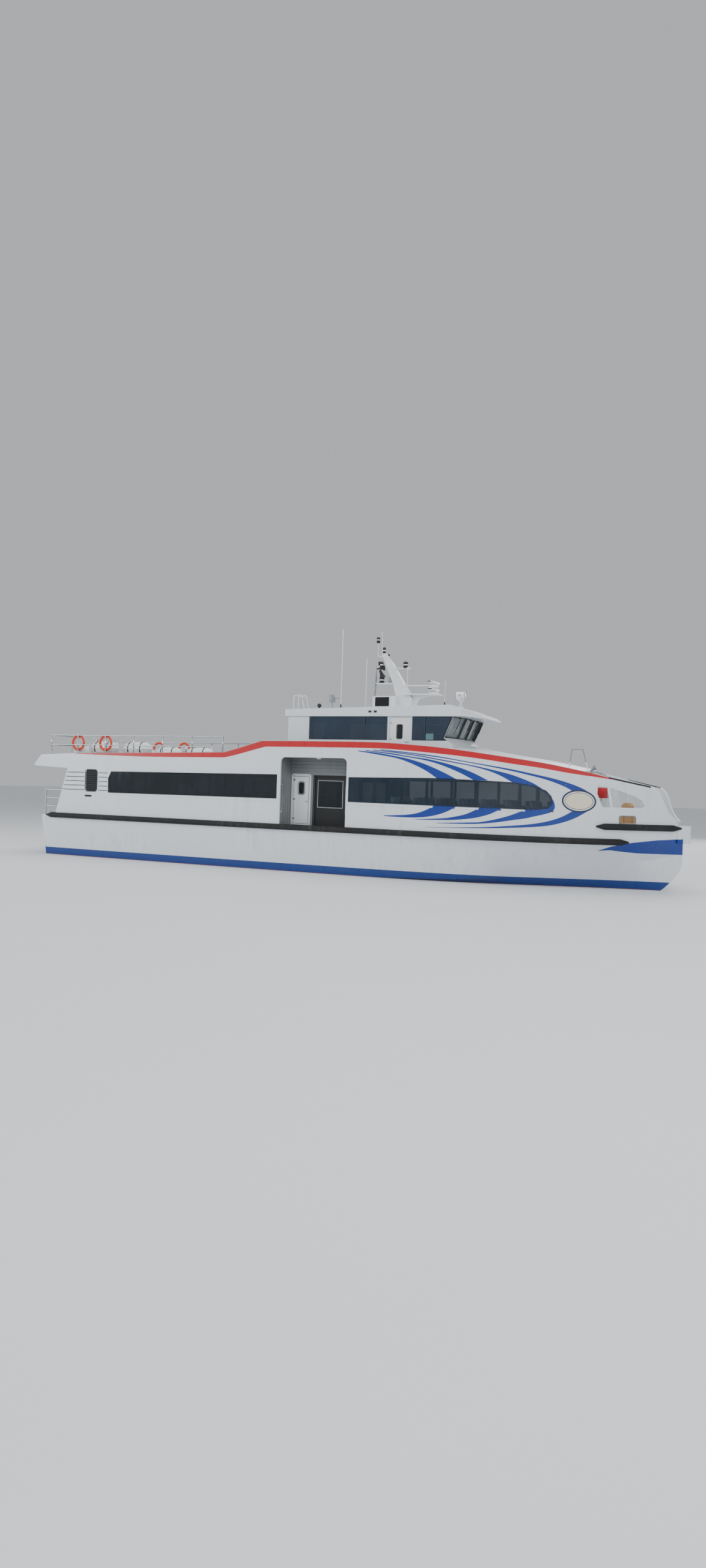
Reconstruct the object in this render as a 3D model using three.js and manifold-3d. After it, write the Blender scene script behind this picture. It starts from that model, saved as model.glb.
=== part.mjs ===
// Passenger ferry, a fast single-hulled boat, at full size in millimetres.
// X points to the bow, Y to port and Z up. The origin is amidships, on the centreline at the waterline.
import * as THREE from "three";
import { mergeVertices } from "three/addons/utils/BufferGeometryUtils.js";
import Module from "manifold-3d";

const wasm = await Module();
wasm.setup();

// Driving dimensions
const gap = 0.3; // between pieces that touch
const halfBeam = 3100;
const transomX = -12750;
const stemX = 13000;
const noseX = 13250;
const deckZ = 1700;
const foredeckZ = 2250;
const roofDeckZ = 4150;
const roofThick = 120;
const shellThick = 60;
const foredeckX = 9950; // where the forward bulkhead stands
const bayAft = -1280;
const bayFore = 1470;
const bayTop = 4330;
const bayWall = 2200; // outer face of the wall inside the boarding bay
const bayWallThick = 50;
const houseAft = -1650;
const houseHalf = 1900;
const houseCeiling = 6120;
const sillZ = 5110; // wheelhouse windows
const lintelZ = 5930;
const frontWallX = 5380;
const shaftY = 1350;
const clearance = 8; // round anything that turns or slides

// Lines of the hull. Columns: x, keel height, chine half breadth, chine height,
// half breadth at the main deck, half breadth at the top of the side
const lines = [
  [-12750, -500, 2750, -60, 3100, 3100],
  [-9000, -700, 2790, -80, 3100, 3100],
  [-4000, -930, 2800, -70, 3100, 3100],
  [1500, -1040, 2720, -10, 3100, 3100],
  [5000, -1060, 2450, 110, 3040, 3090],
  [7000, -1040, 2080, 270, 2870, 3010],
  [9000, -960, 1480, 520, 2420, 2740],
  [10500, -760, 930, 780, 1830, 2270],
  [11500, -450, 540, 980, 1280, 1730],
  [12300, 0, 230, 1150, 720, 1120],
  [12800, 520, 90, 1260, 300, 640],
  [13000, 900, 30, 1300, 130, 400],
];
const column = { keelZ: 1, chineY: 2, chineZ: 3, deckY: 4, topY: 5 };

// Height of the side's top edge. Columns: x, z
const sheer = [
  [1470, 4950],
  [2600, 4940],
  [5400, 4750],
  [8620, 4330],
  [10280, 4010],
  [10880, 3850],
  [12050, 3600],
  [13000, 3420],
];
// Height of the whaleback on the centreline. Columns: x, z
const crown = [
  [5400, 4970],
  [6140, 4830],
  [6940, 4690],
  [8600, 4440],
  [9950, 4180],
];

// A smooth curve through a table's rows, read at x
function along(table, x, col = 1) {
  let i = 0;
  while (i < table.length - 2 && x > table[i + 1][0]) i++;
  const slope = (k) => {
    const a = table[Math.max(k - 1, 0)];
    const b = table[Math.min(k + 1, table.length - 1)];
    return (b[col] - a[col]) / (b[0] - a[0]);
  };
  const [p, q] = [table[i], table[i + 1]];
  const width = q[0] - p[0];
  const t = THREE.MathUtils.clamp((x - p[0]) / width, 0, 1);
  const [t2, t3] = [t * t, t * t * t];
  return (
    (2 * t3 - 3 * t2 + 1) * p[col] +
    (t3 - 2 * t2 + t) * width * slope(i) +
    (3 * t2 - 2 * t3) * q[col] +
    (t3 - t2) * width * slope(i + 1)
  );
}
const line = (name, x) => along(lines, x, column[name]);
const sheerZ = (x) => along(sheer, x);
// Places along the boat where the side's plating is faceted
const frames = [
  -12750, -9000, -4000, 1500, 2600, 3700, 4700, 5410, 6000, 6600, 7200, 7800, 8400, 9000, 9500,
  9950, 10350, 10750, 11150, 11500, 11850, 12150, 12400, 12650, 12850, 13000,
];
const framesBetween = (from, to) => [from, ...frames.filter((x) => x > from + 1 && x < to - 1), to];
// Reads a value that runs straight from frame to frame
function betweenFrames(x, read) {
  const i = Math.max(1, frames.findIndex((f) => f >= x));
  const [a, b] = [frames[i - 1], frames[i]];
  return THREE.MathUtils.mapLinear(x, a, b, read(a), read(b));
}
// Half breadth of the side plating at a height above the main deck
function sideY(x, z) {
  return betweenFrames(x, (f) => {
    const share = (z - deckZ) / (sheerZ(Math.max(f, sheer[0][0])) - deckZ);
    return THREE.MathUtils.lerp(line("deckY", f), line("topY", f), share);
  });
}
// Half breadth inside the plating, which is thicker across the boat where the side turns in to the stem
function insideY(x, z, clear = 3) {
  return betweenFrames(x, (f) => {
    const turn = (line("topY", f + 50) - line("topY", f - 50)) / 100;
    return sideY(f, z) - shellThick * Math.hypot(1, turn);
  }) - clear;
}

// Shapes
function solid(geometry) {
  const bare = geometry.index ? geometry.toNonIndexed() : geometry;
  bare.deleteAttribute("normal");
  bare.deleteAttribute("uv");
  const merged = mergeVertices(bare, 1e-3);
  return new wasm.Manifold(
    new wasm.Mesh({
      numProp: 3,
      vertProperties: merged.attributes.position.array,
      triVerts: new Uint32Array(merged.index.array),
    }),
  );
}
const join = (first, ...rest) => rest.reduce((a, b) => a.add(b), first);
const cut = (first, ...rest) => rest.reduce((a, b) => a.subtract(b), first);

function box(x0, x1, y0, y1, z0, z1) {
  const g = new THREE.BoxGeometry(x1 - x0, y1 - y0, z1 - z0);
  return solid(g.translate((x0 + x1) / 2, (y0 + y1) / 2, (z0 + z1) / 2));
}
// Outlines go round anticlockwise in their own plane and are pushed along the third axis
function prism(points, depth) {
  const shape = points instanceof THREE.Shape
    ? points
    : new THREE.Shape(points.map(([u, v]) => new THREE.Vector2(u, v)));
  return new THREE.ExtrudeGeometry(shape, {
    depth,
    bevelEnabled: false,
    curveSegments: 2,
  });
}
const plan = (points, z0, z1) => solid(prism(points, z1 - z0).translate(0, 0, z0));
// X-Z outline, from y0 to y1
const profile = (points, y0, y1) =>
  solid(prism(points, y1 - y0).rotateX(Math.PI / 2).translate(0, y1, 0));
// Y-Z outline, from x0 to x1
const section = (points, x0, x1) =>
  solid(prism(points, x1 - x0).rotateX(Math.PI / 2).rotateZ(Math.PI / 2).translate(x0, 0, 0));

// A rectangle whose corners are rounded by r
function rounded(u0, u1, v0, v1, r) {
  const s = new THREE.Shape();
  s.moveTo(u0 + r, v0).lineTo(u1 - r, v0).absarc(u1 - r, v0 + r, r, -Math.PI / 2, 0);
  s.lineTo(u1, v1 - r).absarc(u1 - r, v1 - r, r, 0, Math.PI / 2);
  s.lineTo(u0 + r, v1).absarc(u0 + r, v1 - r, r, Math.PI / 2, Math.PI);
  s.lineTo(u0, v0 + r).absarc(u0 + r, v0 + r, r, Math.PI, 1.5 * Math.PI);
  return s;
}
// A round bar from point a to point b, which may taper
function rod(a, b, radius, sides = 8, endRadius = radius) {
  const [from, to] = [new THREE.Vector3(...a), new THREE.Vector3(...b)];
  const way = to.clone().sub(from);
  const g = new THREE.CylinderGeometry(endRadius, radius, way.length(), sides);
  const up = new THREE.Vector3(0, 1, 0);
  g.applyQuaternion(new THREE.Quaternion().setFromUnitVectors(up, way.clone().normalize()));
  const middle = from.add(way.multiplyScalar(0.5));
  return solid(g.translate(middle.x, middle.y, middle.z));
}
// Bars along a chain of points
function bars(points, radius, sides = 8) {
  const pieces = points.slice(1).map((p, i) => rod(points[i], p, radius, sides));
  const knots = points.slice(1, -1).map((p) => {
    const g = new THREE.SphereGeometry(radius * 1.03, sides, 4);
    return solid(g.translate(...p));
  });
  return join(...pieces, ...knots);
}
// A closed skin over rings that all have the same number of points
function loft(rings) {
  const n = rings[0].length;
  const faces = [];
  const quad = (a, b, c, d) => faces.push(a, b, c, a, c, d);
  for (let r = 0; r + 1 < rings.length; r++)
    for (let i = 0; i < n; i++) {
      const j = (i + 1) % n;
      quad(rings[r][i], rings[r][j], rings[r + 1][j], rings[r + 1][i]);
    }
  for (const [ring, turned] of [[rings[0], true], [rings.at(-1), false]]) {
    const flat = ringFaces(ring);
    for (const [a, b, c] of flat) faces.push(...(turned ? [a, c, b] : [a, b, c]));
  }
  const g = new THREE.BufferGeometry();
  g.setAttribute("position", new THREE.Float32BufferAttribute(faces.flat(), 3));
  const made = solid(g.setIndex([...Array(faces.length).keys()]));
  return made.volume() < 0 ? flipped(faces) : made;
}
// Triangles that close one end of a loft
function ringFaces(ring) {
  const spread = [0, 1, 2].map((k) => {
    const values = ring.map((p) => p[k]);
    return Math.max(...values) - Math.min(...values);
  });
  const drop = spread.indexOf(Math.min(...spread));
  const [u, v] = [0, 1, 2].filter((k) => k !== drop);
  const flat = ring.map((p) => new THREE.Vector2(p[u], p[v]));
  const backwards = THREE.ShapeUtils.isClockWise(flat);
  const contour = backwards ? flat.slice().reverse() : flat;
  const source = backwards ? ring.slice().reverse() : ring;
  return THREE.ShapeUtils.triangulateShape(contour, []).map((t) =>
    (backwards ? t.slice().reverse() : t).map((i) => source[i]),
  );
}
function flipped(faces) {
  const g = new THREE.BufferGeometry();
  g.setAttribute("position", new THREE.Float32BufferAttribute(faces.flat(), 3));
  const order = [...Array(faces.length).keys()];
  for (let i = 0; i < order.length; i += 3) order.splice(i + 1, 2, i + 2, i + 1);
  return solid(g.setIndex(order));
}
function mirrored(made) {
  return made.mirror([0, 1, 0]);
}

// Stations every so often between two places along the boat
function stations(from, to, step) {
  const count = Math.max(1, Math.round((to - from) / step));
  return Array.from({ length: count + 1 }, (_, i) => from + ((to - from) * i) / count);
}

// Port side plating between two places, with edges at the heights where other pieces meet it
function sideLoft(from, to, heights) {
  return loft(
    framesBetween(from, to).map((x) => {
      const levels = [deckZ + gap, ...heights, sheerZ(x)];
      return [
        ...levels.map((z) => [x, sideY(x, z), z]),
        ...levels.reverse().map((z) => [x, insideY(x, z, 0), z]),
      ];
    }),
  );
}
const bandLevels = [2600, 3800];

// Window bands in the side, as outlines seen from starboard: x, z
const aftBand = [
  [-9230, 2720],
  [-1420, 2750],
  [-1420, 3670],
  [-9180, 3600],
  [-9330, 3300],
];
const foreBand = [
  [1560, 2730],
  [8400, 2700],
  [8850, 2760],
  [9000, 2950],
  [8960, 3180],
  [8780, 3380],
  [8350, 3540],
  [7700, 3630],
  [5000, 3700],
  [1560, 3640],
];
const aftPosts = [-7480, -5950, -4430, -2920];
const forePosts = [2600, 3640, 4600, 5520, 6380, 7180, 7900, 8480];
const postWide = 90;
const bandRim = 45; // glass laps over the plating by this much

function shrink(points, by) {
  const [cx, cz] = [0, 1].map((k) => points.reduce((s, p) => s + p[k], 0) / points.length);
  return points.map(([x, z]) => [
    x - Math.sign(x - cx) * by,
    z - Math.sign(z - cz) * by,
  ]);
}
// The openings behind a band of glass: the band less its rim and its posts
function bandHoles(band, posts) {
  const whole = profile(shrink(band, bandRim), halfBeam - 1500, halfBeam + 300);
  const bits = posts.map((x) =>
    box(x - postWide / 2, x + postWide / 2, halfBeam - 1600, halfBeam + 400, 2000, 4200),
  );
  return cut(whole, ...bits);
}

// Hull: chine sections, with the raised foredeck, the nose, the fin keel and the shaft brackets
const shaftSlope = Math.tan(THREE.MathUtils.degToRad(8));
const propX = -11600;
const propZ = -1050;
const shaftRadius = 45;
const shaftEndX = -8300;
const bracketX = -11150;
const stockX = -12220; // rudder stock
const stockRadius = 40;
const shaftAt = (x) => propZ + (x - propX) * shaftSlope;
const engineRoom = { x0: -8200, x1: -5000, half: 1900, floor: -100, ledge: 80, lid: 60 };

// The nose above the stem, in front of the bulwarks. Columns: x, half breadth
const bulwarkFore = 12850;
const nose = [
  [bulwarkFore + gap, 340],
  [13080, 230],
  [noseX, 90],
];
function makeHull() {
  const rings = frames.map((x) => {
    const [ky, cy, cz, dy] = ["keelZ", "chineY", "chineZ", "deckY"].map((n) => line(n, x));
    return [[x, 0, ky], [x, cy, cz], [x, dy, deckZ], [x, -dy, deckZ], [x, -cy, cz]];
  });
  const bow = framesBetween(foredeckX + gap, bulwarkFore).map((x) => {
    const low = deckZ - 5;
    return [
      [x, insideY(x, low, 8), low],
      [x, insideY(x, foredeckZ, 8), foredeckZ],
      [x, -insideY(x, foredeckZ, 8), foredeckZ],
      [x, -insideY(x, low, 8), low],
    ];
  });
  const nosePlan = [...nose.map(([x, y]) => [x, -y]), ...nose.slice().reverse()];
  const nosePiece = plan(nosePlan, deckZ - 5, foredeckZ + 50);
  const noseBack = box(12600, 12900, -150, 150, deckZ - 5, foredeckZ);
  const fin = profile(
    [[-10800, -560], [-10300, -1180], [-4500, -1200], [-3800, -900], [-3800, -800], [-10800, -500]],
    -40,
    40,
  );
  const room = engineRoom;
  const pocket = box(room.x0, room.x1, -room.half, room.half, room.floor, deckZ + 10);
  const l = room.ledge;
  const lidSeat = box(
    room.x0 - l, room.x1 + l, -room.half - l, room.half + l, deckZ - room.lid - gap, deckZ + 10,
  );
  let hull = join(loft(rings), loft(bow), nosePiece, noseBack, fin);
  for (const y of [-shaftY, shaftY]) {
    const onShaft = (x) => [x, y, shaftAt(x)];
    const ring = rod(onShaft(bracketX - 90), onShaft(bracketX + 90), 95, 12);
    const middle = shaftAt(bracketX);
    const strut = profile(
      [[bracketX - 80, middle], [bracketX + 80, middle], [bracketX + 130, -150], [bracketX - 60, -150]],
      y - 16,
      y + 16,
    );
    const rudderPad = rod([stockX, y, -360], [stockX, y, -150], 110, 12);
    const bore = rod(onShaft(-12000), onShaft(shaftEndX + 120), shaftRadius + clearance, 12);
    const stockBore = rod([stockX, y, -600], [stockX, y, 60], stockRadius + clearance, 12);
    hull = cut(join(hull, ring, strut, rudderPad), bore, stockBore);
  }
  return cut(hull, pocket, lidSeat);
}

// Flat aft side with the wing of the roof overhang and the strip above the boarding bay
function makeAftSide() {
  const outline = [
    [-12050, deckZ + gap], [bayAft, deckZ + gap], [bayAft, bayTop], [bayFore - gap, bayTop],
    [bayFore - gap, 4950], [-2100, 4950], [-3750, 4480], [-11200, 4320], [-12890, 4240],
    [-13250, 3830], [-13150, 3760], [-11450, 3690],
  ];
  const plate = profile(outline, halfBeam - shellThick, halfBeam);
  const corner = 180; // rounded upper corners of the bay
  const ventHole = profile(rounded(-10480, -9900, 2760, 3640, 110), halfBeam - 30, halfBeam + 5);
  const arc = new THREE.Shape();
  arc.moveTo(bayAft - 5, bayTop - corner).lineTo(bayAft, bayTop - corner);
  arc.absarc(bayAft + corner, bayTop - corner, corner, Math.PI, Math.PI / 2, true);
  arc.lineTo(bayAft + corner, bayTop + 5).lineTo(bayAft - 5, bayTop + 5);
  return cut(
    join(plate, profile(arc, halfBeam - shellThick, halfBeam)),
    bandHoles(aftBand, aftPosts),
    ventHole,
  );
}
function makeForeSide() {
  const corner = 180;
  const arc = new THREE.Shape();
  arc.moveTo(bayFore + 5, bayTop - gap).lineTo(bayFore - corner, bayTop - gap);
  arc.absarc(bayFore - corner, bayTop - gap - corner, corner, Math.PI / 2, 0, true);
  arc.lineTo(bayFore + 5, bayTop - gap - corner);
  return cut(
    join(
      sideLoft(bayFore, foredeckX, [...bandLevels, roofDeckZ - roofThick]),
      profile(arc, halfBeam - shellThick, halfBeam),
    ),
    bandHoles(foreBand, forePosts),
  );
}
function makeBulwark() {
  const wall = sideLoft(foredeckX + gap, bulwarkFore, [foredeckZ]);
  // the front edge drops to the nose in a hollow curve
  const drop = profile(
    [
      [12060, 3900], [12060, 3600], [12260, 3420], [12370, 3180], [12500, 2860], [12700, 2560],
      [12900, 2400], [12900, 3900],
    ],
    0,
    halfBeam,
  );
  const window = profile(
    [
      [10560, 2880], [11760, 2880], [11860, 2960], [11780, 3140], [11600, 3260], [10820, 3560],
      [10420, 3630], [10400, 3330],
    ],
    0,
    halfBeam,
  );
  const brace = profile([[10820, 2800], [10900, 2800], [10780, 3700], [10700, 3700]], 0, halfBeam);
  const fairlead = profile(rounded(11080, 11580, 2330, 2600, 60), 0, halfBeam);
  return cut(wall, drop, cut(window, brace), fairlead);
}
const glassClear = 2; // gap between the plating and the glass
const foreGlassClear = 8;
const glassThick = 9;
const aftGlass = () =>
  profile(aftBand, halfBeam + glassClear, halfBeam + glassClear + glassThick);
// The forward glass follows the curved side. It is a strip between the band's two edges.
function makeForeGlass() {
  const [start, tip] = [foreBand[0][0], 8985];
  const readEdge = (edge, x) => {
    const i = Math.max(1, edge.findIndex(([ex]) => ex >= x));
    const [[ax, az], [bx, bz]] = [edge[i - 1], edge[i]];
    return THREE.MathUtils.mapLinear(x, ax, bx, az, bz);
  };
  const low = foreBand.slice(0, 4);
  const high = foreBand.slice(3).reverse();
  const bends = foreBand.map(([x]) => x).filter((x) => x > 8300);
  const xs = [...new Set([...framesBetween(start, tip), ...bends.filter((x) => x < tip)])];
  const out = foreGlassClear;
  const rings = xs.sort((a, b) => a - b).map((x) => {
    const [z0, z1] = [readEdge(low, x), readEdge(high, x)];
    const [y0, y1] = [sideY(x, z0) + out, sideY(x, z1) + out];
    return [[x, y0, z0], [x, y1, z1], [x, y1 + glassThick, z1], [x, y0 + glassThick, z0]];
  });
  return loft(rings);
}

// The lining of the boarding bay: inner wall with its two doorways, two end walls and a raised ceiling
const bayDoor = { x0: -1210, x1: -460, z0: deckZ + 60, z1: 3680 };
const baySlide = { x0: -280, x1: 1030, z0: deckZ + 60, z1: 3650 };
const sillPlate = { deep: 160, thick: 12 };
function makeBay() {
  const floor = deckZ + gap;
  const back = bayWall - bayWallThick;
  const edge = halfBeam - shellThick - gap;
  const ceiling = bayTop + 40;
  const t = shellThick;
  const shell = join(
    box(bayAft - t, bayFore + t, back, bayWall, floor, ceiling),
    box(bayAft - t, bayAft, back, edge, floor, ceiling),
    box(bayFore, bayFore + t, back, edge, floor, ceiling),
    box(bayAft - t, bayFore + t, back, edge, bayTop, ceiling),
    box(bayAft - 10, bayFore + 10, edge - sillPlate.deep, edge, floor, floor + sillPlate.thick),
  );
  const [d, s] = [bayDoor, baySlide];
  const door = profile(rounded(d.x0, d.x1, d.z0, d.z1, 110), back - 20, bayWall + 20);
  const slide = box(s.x0, s.x1, back - 20, bayWall + 20, s.z0, s.z1);
  return cut(shell, door, slide);
}
function makeBayDoor() {
  const c = clearance;
  const leaf = profile(
    rounded(bayDoor.x0 + c, bayDoor.x1 - c, bayDoor.z0 + c, bayDoor.z1 - c, 105),
    bayWall - 45,
    bayWall - 5,
  );
  const pane = profile(rounded(-950, -720, 2950, 3400, 60), bayWall - 60, bayWall + 10);
  return cut(leaf, pane);
}
function makeBaySlider() {
  const y1 = bayWall - bayWallThick - clearance;
  const s = baySlide;
  const leaf = box(s.x0 - 40, s.x1 + 30, y1 - 40, y1, s.z0 - 30, s.z1 + 30);
  const light = box(s.x0 + 120, s.x1 - 120, y1 - 50, y1 + 10, 2450, 3500);
  return cut(leaf, light);
}

// Roof of the cabin, which is also the upper deck, with its end beam
function makeRoof() {
  const xs = [-11450, ...framesBetween(-9000, 5600)];
  const under = roofDeckZ - roofThick;
  const rings = xs.map((x) => {
    const [low, high] = [insideY(x, under), insideY(x, roofDeckZ)];
    return [[x, low, under], [x, high, roofDeckZ], [x, -high, roofDeckZ], [x, -low, under]];
  });
  const edge = halfBeam - shellThick - gap;
  const tail = profile(
    [
      [-11450, under], [-11440, under], [-11440, roofDeckZ], [-12560, roofDeckZ], [-12860, 4215],
      [-13215, 3830], [-13130, 3775], [-12700, under],
    ],
    -edge,
    edge,
  );
  const notches = [-1, 1].map((s) => {
    const [a, b] = [s * (bayWall - bayWallThick - gap), s * (halfBeam + 10)];
    const wall = shellThick + gap;
    return box(bayAft - wall, bayFore + wall, Math.min(a, b), Math.max(a, b), 3900, 4300);
  });
  const stairWell = box(-12150, -11550, -2500, -1700, 3900, 4300);
  return cut(join(loft(rings), tail), ...notches, stairWell);
}
const whaleAft = 5410;
const whaleDrop = 40; // its edge lies this far below the top of the side
function makeWhaleback() {
  const thick = 70;
  const archAt = (x, y, edgeY, edgeZ) => {
    const share = 1 - (y / edgeY) ** 2;
    return THREE.MathUtils.lerp(edgeZ, along(crown, x), share);
  };
  const shares = [1, 0.75, 0.4, 0, -0.4, -0.75, -1];
  const rings = framesBetween(whaleAft, foredeckX).map((x) => {
    const edgeZ = sheerZ(x) - whaleDrop;
    const [topY, lowY] = [insideY(x, edgeZ), insideY(x, edgeZ - thick)];
    const top = shares.map((s) => [x, s * topY, archAt(x, s * topY, topY, edgeZ)]);
    const low = shares.map((s) => [x, s * lowY, archAt(x, s * topY, topY, edgeZ) - thick]);
    return [...top, ...low.reverse()];
  });
  const x = whaleAft;
  const edgeZ = sheerZ(x) - whaleDrop - 40;
  const edgeY = insideY(x + 60, roofDeckZ);
  const step = section(
    [
      [-edgeY, roofDeckZ + gap], [edgeY, roofDeckZ + gap], [edgeY, edgeZ], [0, along(crown, x) - 40],
      [-edgeY, edgeZ],
    ],
    x,
    x + 60,
  );
  const hoopY = -1000;
  const foot = (px) => archAt(px, hoopY, 2500, sheerZ(px)) - 60;
  const hoop = bars(
    [[9180, hoopY, foot(9180)], [9260, hoopY, 4880], [9640, hoopY, 4880], [9850, hoopY, foot(9850)]],
    24,
  );
  return join(loft(rings), step, hoop);
}
function makeForeBulkhead() {
  const [x0, x1] = [foredeckX - 70, foredeckX - 10];
  const half = (z) => insideY(x1, z) - 8;
  const top = sheerZ(x1) - 40 - 70 - 14;
  const shares = [1, 0.6, 0, -0.6, -1];
  const arch = shares.map((s) => [
    s * half(top),
    THREE.MathUtils.lerp(top, along(crown, x1) - 70 - 14, 1 - s * s),
  ]);
  const wall = section([[-half(deckZ), deckZ + gap], [half(deckZ), deckZ + gap], ...arch], x0, x1);
  return cut(wall, section(rounded(-390, 390, 2380, 3940, 100), x0 - 20, x1 + 20));
}
const foreDoorX = foredeckX - 10;
const makeForeDoor = () =>
  section(
    rounded(-390 + clearance, 390 - clearance, 2380 + clearance, 3940 - clearance, 95),
    foreDoorX - 45,
    foreDoorX - 5,
  );

function makeAftBulkhead() {
  const edge = halfBeam - shellThick - gap;
  const top = roofDeckZ - roofThick - gap;
  const wall = box(-11390, -11330, -edge, edge, deckZ + gap, top);
  return cut(
    wall,
    section(rounded(-450, 450, deckZ + 100, 3750, 100), -11420, -11300),
    section(rounded(1100, 2500, 2750, 3600, 120), -11420, -11300),
    section(rounded(-2500, -1100, 2750, 3600, 120), -11420, -11300),
  );
}
const makeAftDoor = () =>
  cut(
    section(rounded(-450 + clearance, 450 - clearance, deckZ + 108, 3742, 95), -11385, -11345),
    section(rounded(-230, 230, 2850, 3500, 80), -11400, -11330),
  );

// Wheelhouse and the deckhouse behind it. The front is three faces that lean out over the bow.
const frontProfile = [
  [frontWallX, roofDeckZ + gap],
  [frontWallX, 4930],
  [4990, 5170],
  [5340, 6000],
  [5340, houseCeiling - gap],
];
const cornerBack = 230; // how far the front's corners stand behind its middle
const frontWall = 60;
function frontRing(y, back, outer, inner, fromZ, toZ) {
  const at = (dx, z) => {
    const rows = frontProfile;
    let i = 0;
    while (i < rows.length - 2 && z > rows[i + 1][1]) i++;
    const t = (z - rows[i][1]) / (rows[i + 1][1] - rows[i][1]);
    return [THREE.MathUtils.lerp(rows[i][0], rows[i + 1][0], t) - back - dx, y, z];
  };
  const bends = frontProfile.slice(1, -1).map((r) => r[1]);
  const levels = [fromZ, ...bends.filter((z) => z > fromZ && z < toZ), toZ];
  return [...levels.map((z) => at(outer, z)), ...levels.map((z) => at(inner, z)).reverse()];
}
function frontSkin(outer, inner, half, fromZ, toZ) {
  return loft([
    frontRing(half, cornerBack, outer, inner, fromZ, toZ),
    frontRing(half / 2, 0, outer, inner, fromZ, toZ),
    frontRing(-half / 2, 0, outer, inner, fromZ, toZ),
    frontRing(-half, cornerBack, outer, inner, fromZ, toZ),
  ]);
}
const houseInside = houseHalf - shellThick - gap;
function makeHouseFront() {
  const [z0, z1] = [roofDeckZ + gap, houseCeiling - gap];
  const mullion = 70;
  const pane = houseInside / 2;
  const panes = [-2, -1, 0, 1].map((i) =>
    box(4300, 5800, i * pane + mullion / 2, (i + 1) * pane - mullion / 2, 5230, lintelZ),
  );
  return cut(frontSkin(0, frontWall, houseInside, z0, z1), ...panes);
}
const makeFrontGlass = () =>
  frontSkin(frontWall + gap, frontWall + 12, houseInside - 15, 5200, lintelZ + 30);

const houseDoor = { x0: 2620, x1: 3460, z0: roofDeckZ + 130, z1: lintelZ };
const houseForePane = [[3560, sillZ], [4670, sillZ], [4990, lintelZ], [3560, lintelZ]];
const houseAftPane = [[-700, sillZ], [2500, sillZ], [2500, lintelZ], [-700, lintelZ]];
function makeHouseSide() {
  const back = cornerBack;
  const outline = [
    [houseAft, roofDeckZ + gap],
    ...frontProfile.map(([x, z]) => [x - back, z]),
    [houseAft, houseCeiling - gap],
  ];
  const plate = profile(outline, houseHalf - shellThick, houseHalf);
  const through = (points) => profile(points, houseHalf - 100, houseHalf + 40);
  const d = houseDoor;
  return cut(
    plate,
    through(houseForePane),
    through(houseAftPane),
    through(rounded(d.x0, d.x1, d.z0, d.z1, 90)),
  );
}
function makeHouseDoor() {
  const d = houseDoor;
  const c = clearance;
  const outline = rounded(d.x0 + c, d.x1 - c, d.z0 + c, d.z1 - c, 85);
  const leaf = profile(outline, houseHalf - 45, houseHalf - 5);
  return cut(leaf, profile(rounded(2930, 3130, 5150, 5650, 40), houseHalf - 60, houseHalf + 10));
}
const makeHouseAft = () =>
  cut(
    box(houseAft, houseAft + 60, -houseInside, houseInside, roofDeckZ + gap, houseCeiling - gap),
    box(houseAft - 20, houseAft + 80, -1300, -200, sillZ, lintelZ),
    box(houseAft - 20, houseAft + 80, 200, 1300, sillZ, lintelZ),
  );
const searchlight = { x: 5050, y: -900, z: 6415 };
function makeHouseRoof() {
  const over = houseHalf + 70;
  const skirt = 5975;
  const shape = [
    [houseAft - 120, 6240], [5000, 6390], [5240, 6290], [5760, 6130], [6080, 5970], [6060, 5945],
    [5480, skirt], [houseAft - 120, skirt],
  ];
  const slab = profile(shape, -over, over);
  // the eyebrow is rounded in plan, so its outer corners are cut back
  const corners = [-1, 1].map((s) => {
    const trimmed = [[5380, over * 1.01], [6200, over * 0.45], [6200, over * 1.2], [5380, over * 1.2]];
    const points = s > 0 ? trimmed : trimmed.map(([x, y]) => [x, -y]).reverse();
    return plan(points, 5800, 6500);
  });
  const inside = houseHalf + gap;
  const hollow = plan(
    [
      [houseAft - gap, -inside], [5140, -inside], [5370, -inside / 2], [5370, inside / 2],
      [5140, inside], [houseAft - gap, inside],
    ],
    5900,
    houseCeiling,
  );
  // x, y, foot, tip and radius of each whip aerial
  const whips = [
    [260, -1200, 6250, 9390, 16],
    [4350, -700, 6350, 7400, 10],
    [260, 1200, 6250, 8600, 16],
  ];
  const rods = whips.map(([x, y, z0, z1, r]) => rod([x, y, z0], [x, y, z1], r, 6));
  const hoops = [-1350, -950].map((y) =>
    bars([[-1740, y, 6180], [-1740, y, 6820], [-1400, y, 6860], [-1240, y, 6240]], 18, 6),
  );
  const { x, y, z } = searchlight;
  const seat = box(x - 90, x + 90, y - 90, y + 90, 6250, z - clearance);
  return join(cut(slab, ...corners, hollow), seat, ...rods, ...hoops);
}

const radarX = 3650;
const radarLowZ = 7060;
const radarHighZ = 7340;
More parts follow.
